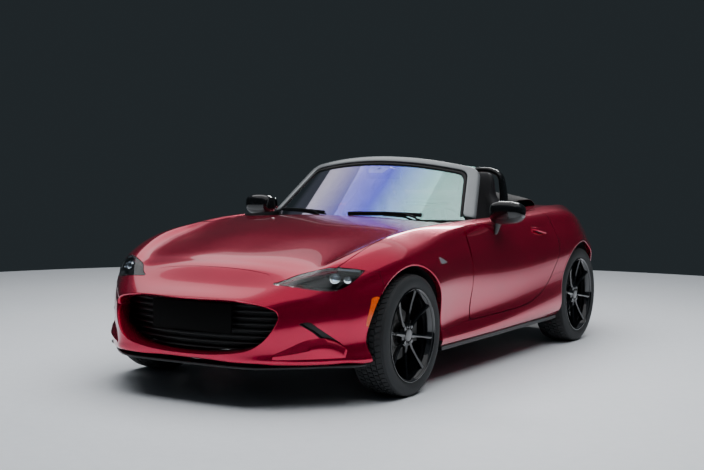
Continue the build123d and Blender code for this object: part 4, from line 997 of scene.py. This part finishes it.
plateShape = {"half": 237, "low": 352, "high": 494, "set": 46, "shift": 14}
bm = bmesh.new()
plateFront = at(plateShape["set"])
plateSpan = [plateShape["shift"] + sign * plateShape["half"] for sign in (-1, 1)]
boxed(bm, plateSpan, (plateFront, plateFront + 4), (plateShape["low"], plateShape["high"]), 3)
boxed(bm, (plateSpan[0] + 8, plateSpan[1] - 8), (plateFront + 4, plateFront + 10),
      (plateShape["low"] + 6, plateShape["high"] - 6), 2)
for x in (-75, 75):
    boxed(bm, (x - 14, x + 14), (plateFront + 9, plateFront + 75), (plateShape["low"] + 10, plateShape["low"] + 24), 1)
boxed(bm, (-256, 256), (at(3880.5), at(3889)), (426, 538), 3)
piece("blankPlates", bm, "blankPlate", "body", ["number_plates"], 30)

for side, word in namedSides:
    shape = slabTool([(side * (p[0] + (638 - p[0]) * 0.02), p[1]) for p in slotOutline], "y", *reach["slot"])
    thickened(skinOf("cornerSlot" + word, [shape]), 4, "body", [], "satinPlastic", inward=20)

# ledges under the slots: their top line, their lip, and how far the lip stands out
ledge = {"top": [(470, 268), (530, 302), (566, 324), (604, 338), (642, 338), (682, 318), (716, 284)],
         "lip": [(470, 258), (530, 268), (566, 277), (604, 287), (642, 294), (682, 292), (716, 280)], "low": 250,
         "out": 24}
bm = bmesh.new()
for side in (1, -1):
    rings = []
    for i, ((x, z), (lowX, lowZ)) in enumerate(zip(lineThrough(ledge["top"], 4), lineThrough(ledge["lip"], 4))):
        out = ledge["out"] * sin(pi * (i + 0.3) / 25) ** 0.6
        top, lip = noseSpot(side * x, z), noseSpot(side * lowX, lowZ)
        outward = onMaster(lip * mm)[0] * out
        rings.append([top + onMaster(top * mm)[0] * 0.3, top.lerp(lip, 0.5) + outward * 0.62, lip + outward,
                      noseSpot(side * lowX, ledge["low"]) + outward * 0.2, noseSpot(side * lowX, ledge["low"] - 8, 1),
                      noseSpot(side * x, z, 14)])
    ringed(bm, rings)
piece("cornerLedges", bm, "candyLacquer", "body", [], 40)

splitter = {"front": [(0, -4), (235, 2), (380, 26), (470, 84), (560, 165), (650, 262), (745, 335), (775, 420)],
            "rear": [(640, 420), (560, 330), (400, 190), (0, 100)], "z": (196, 207)}
frontLine = lineThrough(splitter["front"], 6)
halfLine = frontLine + splitter["rear"]
bm = bmesh.new()
slab(bm, [(x, at(s)) for x, s in halfLine] + [(-x, at(s)) for x, s in reversed(halfLine[1:-1])], "z", *splitter["z"])
splitterPlate = piece("frontSplitter", bm, "satinPlastic", "body", ["front_splitter"], 30)
bevel = splitterPlate.modifiers.new("edge", "BEVEL")
bevel.width, bevel.segments = 3 * mm, 2
print("nose made")


# lacquered lip rolled round the edge of each wheel opening
archLip = {"radius": 345, "inner": 337, "out": 1.4, "back": 26, "steps": 72, "start": -16, "sweep": 212, "low": 232,
           "markerGap": (378, 530)}
lipEdge, lipInner, lipOut, lipBack = (archLip[key] for key in ("radius", "inner", "out", "back"))
lipShape = ((lipInner, -lipBack), (lipInner, 0.5), (lipInner + 2, lipOut), (lipEdge + 2.5, lipOut - 0.5),
            (lipEdge + 3, -2), (lipEdge - 2, -lipBack))   # radius and how far out
for end, y in (("front", frontAxle), ("rear", rearAxle)):
    bm = bmesh.new()
    for side in (1, -1):
        rings = []
        for i in range(archLip["steps"] + 1):
            turn = radians(archLip["start"] + archLip["sweep"] * i / archLip["steps"])
            c, s = cos(turn), sin(turn)
            spotY, spotZ = y + (lipEdge + 4) * c, arch["height"] + (lipEdge + 4) * s
            hit = sideHit(spotY, spotZ, side)
            marked = end == "front" and c < 0 and archLip["markerGap"][0] < spotZ < archLip["markerGap"][1]
            if hit and spotZ >= archLip["low"] and not marked:
                rings.append([Vector((hit.x / mm + side * out, y + radius * c, arch["height"] + radius * s))
                              for radius, out in lipShape])
            elif len(rings) > 1:
                # the lip stops at the side marker and goes on past it
                ringed(bm, rings)
                rings = []
        if len(rings) > 1:
            ringed(bm, rings)
    piece("archLips" + end.capitalize(), bm, "candyLacquer", "body", [], 40)

# housings of the wheels: a curved shell and the wall behind it
housing = {"inner": 363, "outer": 367, "wall": (470, 474), "edge": 14, "low": 232, "steps": 60, "start": -25,
           "sweep": 230}
bm = bmesh.new()
for side in (1, -1):
    for y in (frontAxle, rearAxle):
        shell, wall = [], []
        for i in range(housing["steps"] + 1):
            turn = radians(housing["start"] + housing["sweep"] * i / housing["steps"])
            c, s = cos(turn), sin(turn)
            spotY, spotZ = y + housing["outer"] * c, arch["height"] + housing["outer"] * s
            wall.append((spotY, spotZ))
            hit = sideHit(spotY, spotZ, side)
            if hit and spotZ > housing["low"]:
                edge = abs(hit.x) / mm - housing["edge"]
                inner = (y + housing["inner"] * c, arch["height"] + housing["inner"] * s)
                shell.append([Vector((side * x, *spot)) for x, spot in
                              ((housing["wall"][0], inner), (edge, inner), (edge, (spotY, spotZ)),
                               (housing["wall"][0], (spotY, spotZ)))])
        ringed(bm, shell)
        slab(bm, wall, "x", *sorted(side * x for x in housing["wall"]))
piece("wheelHousings", bm, "grainedPlastic", "body", ["arch_liners"], 40)

# tail: dark valance, edges and round bulbs of the tail lamps, high brake lamp
valance = {"line": [(0, 3836), (180, 3832), (360, 3816), (500, 3786), (600, 3742), (655, 3690)], "high": (268, 392),
           "thick": 6, "lean": 44}
half = lineThrough(valance["line"], 5)
line = [(-x, s) for x, s in reversed(half[1:])] + half
low, high = valance["high"]
thick, lean = valance["thick"], valance["lean"]
rings = [[Vector((x, at(s - back), z)) for back, z in
          ((lean, low), (14, high - 50), (26, high), (26 + thick, high), (20 + thick, high - 50), (lean + 30, low))]
         for x, s in line]
ringPiece("tailValance", rings, "grainedPlastic", "body", [], 30)

tailBulbs = ((528, 690, 34), (438, 692, 25))   # x, height and radius
outline = lineThrough(tailOutline, 2, True)
middle = [sum(p[k] for p in outline) / len(outline) for k in (0, 1)]
for side, word in namedSides:
    rings = []
    for x, z in outline + outline[:1]:
        inner, outer = ([c + (v - c) * size for v, c in zip((x, z), middle)] for size in (0.955, 1.0))
        rings.append([tailSpot(side * spot[0], spot[1], lift) for spot, lift in
                      ((inner, -2), (outer, -2), (outer, 8), (inner, 8))])
    ringPiece("tailEdge" + word, rings, "pianoBlack", "body", [], 30, closed=False)
    bm = bmesh.new()
    for x, z, radius in tailBulbs:
        rings = []
        for i in range(33):
            c, s = cos(tau * i / 32), sin(tau * i / 32)
            rings.append([tailSpot(side * (x + r * c), z + r * s, lift) for r, lift in
                          ((radius - 5, -1), (radius - 4, -3.5), (radius + 1, -3.5), (radius + 2, 4), (radius - 5, 4))])
        ringed(bm, rings, closed=False)
    piece("tailRings" + word, bm, "brightRedLens", "body", [], 40)
rings = [[topSpot(x, at(s), lift) for s, lift in ((3706, 3), (3706, -3), (3720, -3), (3720, 3))]
         for x in range(-150, 151, 25)]
ringPiece("highBrakeLamp", rings, "redLens", "boot_lid", [], 30)
print("tail made")


# mirrors on the doors; rings of the shell: how far out, and its share of the full depth and height
doorMirror = {"rings": ((760, 0.62, 0.50), (775, 0.86, 0.84), (802, 1.0, 1.0), (850, 1.03, 1.0), (902, 0.98, 0.93),
                        (934, 0.84, 0.74), (951, 0.5, 0.42), (955, 0.2, 0.2)),
              "middle": (1884, 880), "half": (70, 70), "sweep": 26, "rise": 5, "start": 748, "width": 190, "split": 862,
              "glass": (856, 80, 888, 44)}
for side, word in handed:
    m = doorMirror
    rings = []
    for x, deep, high in m["rings"]:
        station = m["middle"][0] - m["sweep"] * (1 - (x - m["start"]) / m["width"]) * 0.6
        lift = m["rise"] * (x - m["start"]) / m["width"]
        rings.append(oval((side * x, at(station), m["middle"][1] + lift), (0, m["half"][0] * deep, 0),
                          (0, -6 * deep, m["half"][1] * high), 16, 0.66))
    shell = ringPiece(word + "MirrorShell", rings, "pianoBlack", "door_" + word, ["mirror_" + word], 70)
    rounded(shell, 2)
    shell.data.materials.append(finishes["satinPlastic"])
    for face in shell.data.polygons:
        face.material_index = int(face.center.z < m["split"] * mm)
    x, halfX, z, halfZ = m["glass"]
    glassRing = oval((side * x, at(m["middle"][0]) + 66, z), (side * halfX, 0, 0), (0, 0, halfZ), 32, 0.6)
    ringPiece(word + "MirrorGlass", [glassRing, [p + Vector((0, 5, 0)) for p in glassRing]], "mirrorGlass",
              "door_" + word, [], 30)
    top, low = Vector((side * 802, at(1878), 836)), sideSpot(at(1862), 754, side)
    rings = [oval(top.lerp(low, f), (0, 44 - 30 * f, 0), (side * (16 - 9 * f), 0, 2), 14, 0.8)
             for f in (t / 6 for t in range(7))]
    rounded(ringPiece(word + "MirrorFoot", rings, "satinPlastic", "door_" + word, [], 70), 1)

# inside of the doors: padded insert, armrest, pull and loudspeaker ring
doorCard = {"face": 706, "insert": ((1600, 2440), (604, 742), 6), "arm": ((1720, 2270), (556, 596), 36),
            "ring": (1660, 430, 78)}
for side, word in handed:
    face = doorCard["face"]
    bm = bmesh.new()
    for stations, heights, proud in (doorCard["insert"], doorCard["arm"]):
        boxed(bm, sorted((side * (face + 1), side * (face - proud))), (at(stations[0]), at(stations[1])), heights, 3)
    rodded(bm, Vector((side * (face - 16), at(1790), 634)), Vector((side * (face - 16), at(1930), 646)), 7, 14, 7)
    station, height, radius = doorCard["ring"]
    turned(bm, [(side, radius), (-side * 7, radius - 2), (-side * 7, radius - 9), (-side * 3, radius - 13),
                (-side * 3, 0.01)], (side * (face - 0.5), at(station), height), "x", 40)
    piece(word + "DoorCard", bm, "seatLeather", "door_" + word, [], 35)

doorHandle = {"front": (2368, 770), "rear": (2528, 734), "stand": 25, "half": (6.5, 12), "steps": 16}
repeaterOutline = lineThrough([(at(1069), 678), (at(1100), 668), (at(1149), 648), (at(1118), 643), (at(1081), 643),
                               (at(1070), 655)], 3, True)


def raisedSkin(name, outline, side, lift):
    # a patch of the body's skin, lifted off it by so many mm
    patch = skinOf(name, [slabTool(outline, "x", *span(side, *reach["trim"]))])
    for vertex in patch.data.vertices:
        vertex.co += onMaster(vertex.co)[0] * lift * mm
    return patch


for side, word in handed:
    h = doorHandle
    rings = []
    for i in range(h["steps"] + 1):
        t = i / h["steps"]
        station, z = (h["front"][k] + (h["rear"][k] - h["front"][k]) * t for k in (0, 1))
        out = -4 + h["stand"] * min(1, sin(pi * t) * 1.9) ** 0.8
        size = 0.72 + 0.28 * sin(pi * t)
        spot = sideSpot(at(station), z, side) + Vector((side * out, 0, 0))
        rings.append(oval(spot, (side * h["half"][0] * size, 0, 0), (0, 2 * size, h["half"][1] * size), 12, 0.8))
    rounded(ringPiece(word + "DoorHandle", rings, "candyLacquer", "door_" + word, [], 60), 1)
    # painted shade: a dark patch laid on the skin behind the handle, where the body-coloured recess lies in shadow
    turns = [tau * i / 24 for i in range(24)]
    handleShadowOutline = [(at(2405 + 46 * (1 + cos(turn))), 751 + 17 * sin(turn) - 21 * cos(turn) * 0.5) for turn in turns]
    handleShadow = raisedSkin(word + "HandleShadow", handleShadowOutline, side, 0.8)
    thickened(handleShadow, 2, "door_" + word, [], "satinPlastic")
    repeater = raisedSkin(word + "Repeater", repeaterOutline, side, 2.5)
    thickened(repeater, 5, "body", [], "bezelSilver")

sillTrim = {"front": 1118, "rear": 2728, "high": (184, 205), "steps": 40}
bm = bmesh.new()
for side in (1, -1):
    rings = []
    for i in range(sillTrim["steps"] + 1):
        y = at(sillTrim["front"] + (sillTrim["rear"] - sillTrim["front"]) * i / sillTrim["steps"])
        low, high = sillTrim["high"]
        edge = abs(sideSpot(y, 208, side).x)
        rings.append([Vector((side * (edge + out), y, z)) for out, z in
                      ((-40, low), (1, low), (5, low + 5), (4, high), (-6, high + 3), (-40, high))])
    ringed(bm, rings)
piece("sillTrim", bm, "satinPlastic", "body", [], 40)

aerial = {"foot": (-598, 3010), "tip": (-598, 3128, 1204)}
footSpot = topSpot(aerial["foot"][0], at(aerial["foot"][1]), -1)
bm = bmesh.new()
turned(bm, [(-4, 0.01), (-4, 19), (4, 17), (12, 10), (22, 7), (22, 0.01)], footSpot, "z", 24)
tip = Vector((aerial["tip"][0], at(aerial["tip"][1]), aerial["tip"][2]))
rodded(bm, footSpot + Vector((0, 3, 10)), tip, 3.4, 12, 2.0)
rodded(bm, footSpot + Vector((0, 3, 10)), footSpot.lerp(tip, 0.22), 5, 12, 4.2)
piece("aerial", bm, "satinPlastic", "body", [], 40)
print("mirrors and handles made")


# spokes run outwards through four places, each with its width, radius, face and depth
wheel = {"spokes": 8, "turn": 9, "rimRadius": 236, "halfRim": 97, "boltCircle": 50, "bolts": 4,
         "spokeWidth": (32, 17, 13, 22), "spokeRadius": (38, 88, 150, 220), "spokeFace": (70, 67, 74, 91),
         "spokeDepth": (24, 22, 24, 26)}
tyre = {"radius": 308, "half": 102.5, "blocksRound": 64, "blockDepth": 6, "blockRows": (-62, -31, 0, 31, 62),
        "blockWidth": 24}


def rimMesh(bm, out):
    w = wheel
    half, r = w["halfRim"], w["rimRadius"]
    profile = [(half - 1, r - 7), (half + 1.5, r - 4), (half + 1, r - 1), (half - 3, r), (half - 7, r - 1),
               (half - 10, r - 8), (half - 13, r - 12), (60, 218), (-60, 218), (-half + 13, r - 14), (-half + 8, r),
               (-half, r), (-half, r - 9), (-half + 8, 210), (-60, 208), (30, 209), (60, 211), (half - 14, 218),
               (half - 6, 226), (half - 1, r - 7)]
    turned(bm, [(out * p[0], p[1]) for p in profile], (0, 0, 0), steps=96)


def spokeMesh(bm, out, index):
    # thin blade with a ridge down its face, splayed a little at the rim
    w = wheel
    rings = []
    for width, radius, face, depth in zip(w["spokeWidth"], w["spokeRadius"], w["spokeFace"], w["spokeDepth"]):
        half = width / 2
        rings.append([(face, 0, radius), (face - 5, half, radius), (face - depth, half * 0.8, radius),
                      (face - depth - 4, 0, radius), (face - depth, -half * 0.8, radius), (face - 5, -half, radius)])
    before = set(bm.verts)
    ringed(bm, [[Vector((out * p[0], p[1], p[2])) for p in ring] for ring in rings])
    fresh = [v for v in bm.verts if v not in before]
    turn = Matrix.Rotation(radians(360 / w["spokes"] * index - out * w["turn"]), 3, "X")
    bmesh.ops.rotate(bm, cent=(0, 0, 0), matrix=turn, verts=fresh)


def spokesMesh(bm, out):
    for index in range(wheel["spokes"]):
        spokeMesh(bm, out, index)


def hubMesh(bm, out):
    w = wheel
    turned(bm, [(out * 20, 0.01), (out * 20, 62), (out * 44, 66), (out * 62, 60), (out * 67, 46), (out * 64, 36),
                (out * 66, 33), (out * 71, 30), (out * 72, 20), (out * 72, 0.01)], (0, 0, 0), steps=48)
    for index in range(w["bolts"]):
        turn = radians(45 + 360 / w["bolts"] * index)
        y, z = w["boltCircle"] * cos(turn), w["boltCircle"] * sin(turn)
        rodded(bm, (out * 60, y, z), (out * 69, y, z), 9.5, 6)


def tyreMesh(bm):
    t, r, half = tyre, wheel["rimRadius"], tyre["half"]
    flat = t["radius"] - t["blockDepth"]
    side = [(half - 13, r - 13), (half - 9, r + 1), (half - 6, r + 5), (half - 2, r + 14), (half, r + 28),
            (half - 1, r + 42), (half - 5, r + 54), (half - 12, flat - 3), (half - 26, flat)]
    profile = side + [(-x, radius) for x, radius in reversed(side)] + [side[0]]
    turned(bm, profile, (0, 0, 0), steps=96)


def treadMesh(bm):
    # one block of each row, copied round; the outer rows are wider, slanted and worn down outwards
    t = tyre
    length = tau * t["radius"] / t["blocksRound"] * 0.78
    for row, x in enumerate(t["blockRows"]):
        before = set(bm.verts)
        outer = abs(x) > 50
        width = t["blockWidth"] / 2 + (3 if outer else 0)
        top = t["radius"] - (2.4 if outer else 0)
        lean = (5 if x > 0 else -5) if outer else 0
        low, high = (x - width, x + width)
        ring = [(low, -length / 2 - lean), (high, -length / 2 + lean), (high, length / 2 + lean),
                (low, length / 2 - lean)]
        slope = [1.5 * (1 if (p[0] - x) * x > 0 else -1) if outer else 0 for p in ring]
        ringed(bm, [[Vector((p[0], p[1], top - t["blockDepth"] - 1)) for p in ring],
                    [Vector((p[0] * 0.99, p[1] * 0.94, top - s)) for p, s in zip(ring, slope)]])
        fresh = [v for v in bm.verts if v not in before]
        bmesh.ops.rotate(bm, cent=(0, 0, 0), matrix=Matrix.Rotation(radians(2.8 * (row % 2)), 3, "X"), verts=fresh)
        geometry = fresh + [item for kind in ("link_edges", "link_faces")
                            for item in dict.fromkeys(item for v in fresh for item in getattr(v, kind))]
        bmesh.ops.spin(bm, geom=geometry, cent=(0, 0, 0), axis=(1, 0, 0), angle=tau * (1 - 1 / t["blocksRound"]),
                       steps=t["blocksRound"] - 1, use_duplicate=True)


def discMesh(bm, out):
    # brake disc and its bell
    rodded(bm, (out * -12, 0, 0), (out * 8, 0, 0), 129, 64)
    rodded(bm, (out * 8, 0, 0), (out * 16, 0, 0), 74, 48, 66)


for end, y, track in (("front", frontAxle, car["trackFront"]), ("rear", rearAxle, car["trackRear"])):
    for out, word in handed:
        spot = (out * track / 2, y, car["hubHeight"])
        body = f"wheel_{end}_{word}"
        name = end + word.capitalize()
        for part, fill, material, swaps, slotName, sharp in (
                ("Rim", lambda bm: rimMesh(bm, out), "blackAlloy", [body], "alloy", 30),
                ("Spokes", lambda bm: spokesMesh(bm, out), "blackAlloy", [], "alloy", 28),
                ("Hub", lambda bm: hubMesh(bm, out), "blackAlloy", [], "alloy", 30),
                ("Disc", lambda bm: discMesh(bm, out), "castIron", [], "iron", 30),
                ("Tyre", tyreMesh, "tyreRubber", [f"tyre_{end}_{word}"], "tyre", 40),
                ("Tread", treadMesh, "tyreRubber", [], "tyre", 30)):
            bm = bmesh.new()
            fill(bm)
            bmesh.ops.translate(bm, vec=spot, verts=bm.verts)
            piece(name + part, bm, material, body, swaps, sharp)
print("wheels made")


# low and high line of the screen: height, station at the middle, half width and sag of its arc;
# edges of the frame: foot and shoulder seen from the front, top at the middle, and the corner's rounding
screen = {"low": (843, 1519, 620, 226), "high": (1180, 1985, 480, 137), "halfLow": 700, "halfHigh": 590,
          "frameDepth": 22, "outer": ((692, 836, 578, 1122), 1192, 55), "opening": ((630, 850, 526, 1104), 1158, 42),
          "seal": ((616, 854, 514, 1092), 1146, 40), "sealDepth": 9, "glassThick": 5,
          "glass": {"halfLow": 644, "halfHigh": 542, "low": 836, "high": 1162, "crown": 24}}


def setBack(line, x):
    _, station, half, sag = line
    radius = (half ** 2 + sag ** 2) / (2 * sag)
    return station + radius - sqrt(radius ** 2 - min(abs(x), radius) ** 2)


def screenY(x, z):
    # y of the curved screen at a place seen from the front
    t = (z - screen["low"][0]) / (screen["high"][0] - screen["low"][0])
    half = screen["halfLow"] * (1 - t) + screen["halfHigh"] * t
    f = x / half
    low, high = setBack(screen["low"], f * screen["halfLow"]), setBack(screen["high"], f * screen["halfHigh"])
    return at(low * (1 - t) + high * t)


def screenSpot(x, z, out=0):
    return Vector((x, screenY(x, z) - out, z))


def screenLine(shape, top, corner, steps=7, headSteps=18):
    # one edge of the frame: left foot, up the pillar, round the corner, across the header and down
    x0, z0, x1, z1 = shape
    foot, shoulder = Vector((x0, z0)), Vector((x1, z1))
    way = (shoulder - foot).normalized()
    head = Vector((x1 * 0.62, top - (top - z1) * 0.30))
    pillar = [foot.lerp(shoulder - way * corner, i / steps) for i in range(steps + 1)]
    start, end = pillar[-1], shoulder + (head - shoulder).normalized() * corner
    bend = [(1 - t) ** 2 * start + 2 * t * (1 - t) * shoulder + t * t * end for t in (k / 6 for k in range(1, 6))]
    arc = [Vector((end.x * (1 - i / (headSteps / 2)), 0)) for i in range(int(headSteps / 2) + 1)]
    arc = [Vector((p.x, top - (top - end.y) * (p.x / end.x) ** 2)) for p in arc]
    half = pillar + bend + arc
    return half + [Vector((-p.x, p.y)) for p in reversed(half[:-1])]


outerLine, innerLine, sealLine = (screenLine(*screen[key]) for key in ("outer", "opening", "seal"))


def frameRings(outer, inner, depth, shift=0):
    # rounded sections between two edges of the frame
    rings = []
    for a, b in zip(outer, inner):
        o, i = screenSpot(a.x, a.y, shift), screenSpot(b.x, b.y, shift)
        across = (o - i) / 2
        rings.append(oval((o + i) / 2, across, Vector((0, -depth, depth * 0.5)), 12, 0.62))
    return rings


# the frame's grey finish is painted reflection, standing in for light mirrored in a gloss black frame
rounded(ringPiece("screenFrame", frameRings(outerLine, innerLine, screen["frameDepth"]), "frameSatin", "body",
                  ["windscreen_frame"], 60), 2)
rounded(ringPiece("screenSeal", frameRings(innerLine, sealLine, screen["sealDepth"], 4), "sealRubber", "body", [],
                  60), 1)


def glassSpot(row, column):
    pane = screen["glass"]
    t, f = row / 12, 2 * column / 32 - 1
    x = f * (pane["halfLow"] * (1 - t) + pane["halfHigh"] * t)
    top = pane["high"] - (x / pane["halfHigh"]) ** 2 * pane["crown"] * t
    return screenSpot(x, pane["low"] + t * (top - pane["low"]))


bm = bmesh.new()
gridded(bm, 12, 32, glassSpot)
glass = piece("screenGlass", bm, "screenGlass", "body", ["windscreen_glass"], 60, turnOut=False)
baked(walled(glass, screen["glassThick"]))
smoothFaces(glass.data, 60)
# sensor housing behind the top of the screen: middle, half sizes and depth
pod = {"middle": (-8, 1117), "half": (70, 25), "deep": 34}
(x, z), (halfX, halfZ) = pod["middle"], pod["half"]
rings = [[screenSpot(x + halfX * size * c, z + halfZ * size * s, -inward) for c, s in
          ((-0.7, -1), (0.7, -1), (0.95, -0.2), (1, 1), (-1, 1), (-0.95, -0.2))]
         for size, inward in ((1.0, 5), (0.97, 20), (0.7, pod["deep"]))]
podShell = ringPiece("sensorPod", rings, "satinPlastic", "body", [], 40)
podShell.modifiers.new("edge", "BEVEL").width = 3 * mm

wiper = {"pivots": (-170, 430), "reach": 430, "blade": (9, 5), "steps": 14,
         "arm": ((0, 834, 16), (-20, 850, 26), (-90, 870, 26), (-215, 876, 24))}
bm = bmesh.new()
for pivot in wiper["pivots"]:
    blade = [screenSpot(pivot - wiper["reach"] * i / wiper["steps"], 866 + 5 * sin(pi * i / wiper["steps"]), 15)
             for i in range(wiper["steps"] + 1)]
    ringed(bm, [oval(p, (0, -wiper["blade"][1], 3), (0, 2, wiper["blade"][0]), 8, 1.0) for p in blade])
    arm = [screenSpot(pivot + x, z, out) for x, z, out in wiper["arm"]]
    root = arm[0]
    ringed(bm, [oval(p, (0, -5, 3), (0, 2, 8 - i), 8, 1.0) for i, p in enumerate(arm)])
    rodded(bm, root + Vector((0, 2, -12)), root + Vector((0, 0, 10)), 11, 20)
piece("wiperSet", bm, "satinPlastic", "body", ["wipers"], 40)
print("windscreen made")


# seats: crowned cushions and backs with side bolsters and piped seams
# cushion: station, half width, top, bottom, bolster; back: height, half width, front, rear, bolster
seat = {"x": 372, "piping": 2.6,
        "cushion": ((1978, 218, 372, 300, 20), (2000, 232, 398, 262, 30), (2060, 238, 396, 240, 38),
                    (2180, 240, 376, 236, 44), (2300, 240, 356, 236, 46), (2420, 236, 345, 236, 40),
                    (2462, 222, 330, 240, 30)),
        "back": ((330, 205, 2396, 2498, 12), (380, 222, 2386, 2512, 30), (480, 234, 2388, 2524, 44),
                 (600, 236, 2402, 2540, 46), (720, 234, 2420, 2552, 44), (820, 224, 2438, 2558, 36),
                 (885, 192, 2450, 2558, 22), (935, 138, 2458, 2554, 8), (980, 120, 2463, 2548, 2),
                 (1040, 118, 2471, 2540, 0), (1085, 106, 2484, 2530, 0), (1103, 78, 2496, 2522, 0))}


def crossLine(half, front, back, bolster):
    # half outline of a padded section: bolstered face, side and rear, from the middle out and back
    line = [(0, front), (0.3 * half, front), (0.52 * half, front - bolster * 0.1), (0.66 * half, front - bolster * 0.7),
            (0.8 * half, front - bolster), (0.94 * half, front - bolster * 0.75), (half, front + (back - front) * 0.3),
            (half * 0.99, front + (back - front) * 0.7), (half * 0.86, back - 2), (half * 0.5, back), (0, back)]
    return line + [(-x, y) for x, y in reversed(line[1:-1])]


for side, word in namedSides:
    x0 = side * seat["x"]
    rings = [[Vector((x0 + x, at(y), z)) for x, y in crossLine(half, front, back, bolster)]
             for z, half, front, back, bolster in seat["back"]]
    seatBack = rounded(ringPiece("seatBack" + word, rings, "seatLeather", "body", ["seats"], 70), 2)
    rings = [[Vector((x0 + x, at(station), -z)) for x, z in crossLine(half, -top, -low, bolster)]
             for station, half, top, low, bolster in seat["cushion"]]
    cushion = rounded(ringPiece("seatCushion" + word, rings, "seatLeather", "body", [], 70), 2)
    for turn, name in ((1, "Outer"), (-1, "Inner")):
        line = [Vector((x0 + turn * half * 0.56, at(front) + 2 - bolster * 0.18, z))
                for z, half, front, _, bolster in seat["back"][1:8]]
        tubeLine("backPiping" + word + name, line, seat["piping"], "seamThread", "body")
        line = [Vector((x0 + turn * half * 0.56, at(station), top - 2 + bolster * 0.18))
                for station, half, top, _, bolster in seat["cushion"][1:6]]
        tubeLine("cushionPiping" + word + name, line, seat["piping"], "seamThread", "body")
print("seats made")

# hoops: broad hollow pressings behind the heads
hoop = {"half": 128, "top": 1135, "foot": 842, "y": 2589, "tube": 17, "deepTop": 24, "deepFoot": 66, "lean": 44}
for side, word in namedSides:
    half = hoop["half"]
    rise = [(half + 6, hoop["foot"]), (half + 4, 930), (half, 1010), (half - 14, 1080), (60, 1112)]
    line = [(-x, z) for x, z in rise] + [(0, 1118)] + rise[::-1]
    path = [Vector((p[0], p[1])) for p in lineThrough(line, 5)]
    rings = []
    for i, p in enumerate(path):
        way = (path[min(i + 1, len(path) - 1)] - path[max(i - 1, 0)]).normalized()
        share = (p.y - hoop["foot"]) / (hoop["top"] - hoop["foot"])
        deep = hoop["deepFoot"] + (hoop["deepTop"] - hoop["deepFoot"]) * share
        rings.append(oval((side * seat["x"] + p.x, at(hoop["y"]) + 4 + hoop["lean"] * (1 - share), p.y),
                          (-way.y * hoop["tube"], 0, way.x * hoop["tube"]), (0, deep, 0), 12, 0.75))
    rounded(ringPiece("rollHoop" + word, rings, "pianoBlack", "body", ["roll_hoops"], 60), 1)
print("hoops made")

# hood: one sheet folded in four lays on its bows, behind the seats
hood = {"half": 545, "lays": ((3030, 801), (2690, 803), (2668, 822), (2690, 842), (3010, 840), (3030, 858), (3010, 876),
                              (2690, 884), (2662, 912), (2684, 946), (2760, 966), (2880, 968), (2990, 950),
                              (3040, 908), (3042, 850)),
        "drop": 44, "wrinkle": 2.6, "thick": 2.2, "across": 44}
profile = lineThrough(hood["lays"], 8)
run = [0.0]
for a, b in zip(profile, profile[1:]):
    run.append(run[-1] + sqrt((b[0] - a[0]) ** 2 + (b[1] - a[1]) ** 2))


def hoodSpot(row, column):
    # the lay at this place, dropped at its ends and slightly wrinkled
    (station, z), along = profile[row], run[row]
    f = 2 * column / hood["across"] - 1
    ripple = sin(f * 23 + along * 0.011) * sin(f * 9.7 - along * 0.017) + 0.6 * sin(f * 41 + along * 0.023)
    upper = min(max((z - 830) / 90, 0), 1)
    dropped = z - hood["drop"] * upper * abs(f) ** 5 + hood["wrinkle"] * ripple * (0.4 + 0.6 * upper)
    return f * hood["half"], at(station) + 10 * upper * f * f + ripple, dropped


bm = bmesh.new()
gridded(bm, len(profile) - 1, hood["across"], hoodSpot)
hoodSheet = piece("foldedHood", bm, "hoodCloth", "body", ["soft_top"], 80, turnOut=False)
walled(hoodSheet, hood["thick"])
print("hood made", round(run[-1]))


# carried-over nodes get their real finishes
carried = {"cowl_panel": "grainedPlastic", "dashboard": "grainedPlastic", "centre_console": "grainedPlastic",
           "floor_tub": "blackSteel", "engine_block": "castAluminium", "radiator": "satinPlastic",
           "exhaust": "stainlessTube", "front_suspension": "castIron", "rear_suspension": "castIron",
           "knuckle_left": "castIron", "knuckle_right": "castIron", "inner_mirror": "satinPlastic",
           "steering_wheel": "seatLeather"}
for node, material in carried.items():
    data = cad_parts[node].data
    data.materials.clear()
    data.materials.append(finishes[material])


# pale floor
bm = bmesh.new()
bmesh.ops.create_circle(bm, cap_ends=True, segments=128, radius=room["floorRadius"])
mesh = bpy.data.meshes.new("studioFloor")
bm.to_mesh(mesh)
bm.free()
floor = addObject("studioFloor", mesh, ["studioFloor"])
world = bpy.data.worlds.new("studio") if not scene.world else scene.world
scene.world = world
world.use_nodes = True
# dark walls up to the ceiling line, a bright ceiling beyond it and a softer one overhead
sky = world.node_tree
backdrop = sky.nodes["Background"]
backdrop.inputs["Strength"].default_value = room["light"]
upward = addNode(sky, "ShaderNodeSeparateXYZ", {}, {0: addNode(sky, "ShaderNodeTexCoord").outputs["Generated"]})
heights = [(0.0, room["wallTone"]), (0.42, room["wallTone"]), (0.48, room["ceilingTone"]), (0.76, room["ceilingTone"]),
           (0.84, room["overheadTone"])]
sky.links.new(manyTones(sky, upward.outputs["Z"], heights), backdrop.inputs["Color"])

for tool in tools:
    bpy.data.objects.remove(tool)
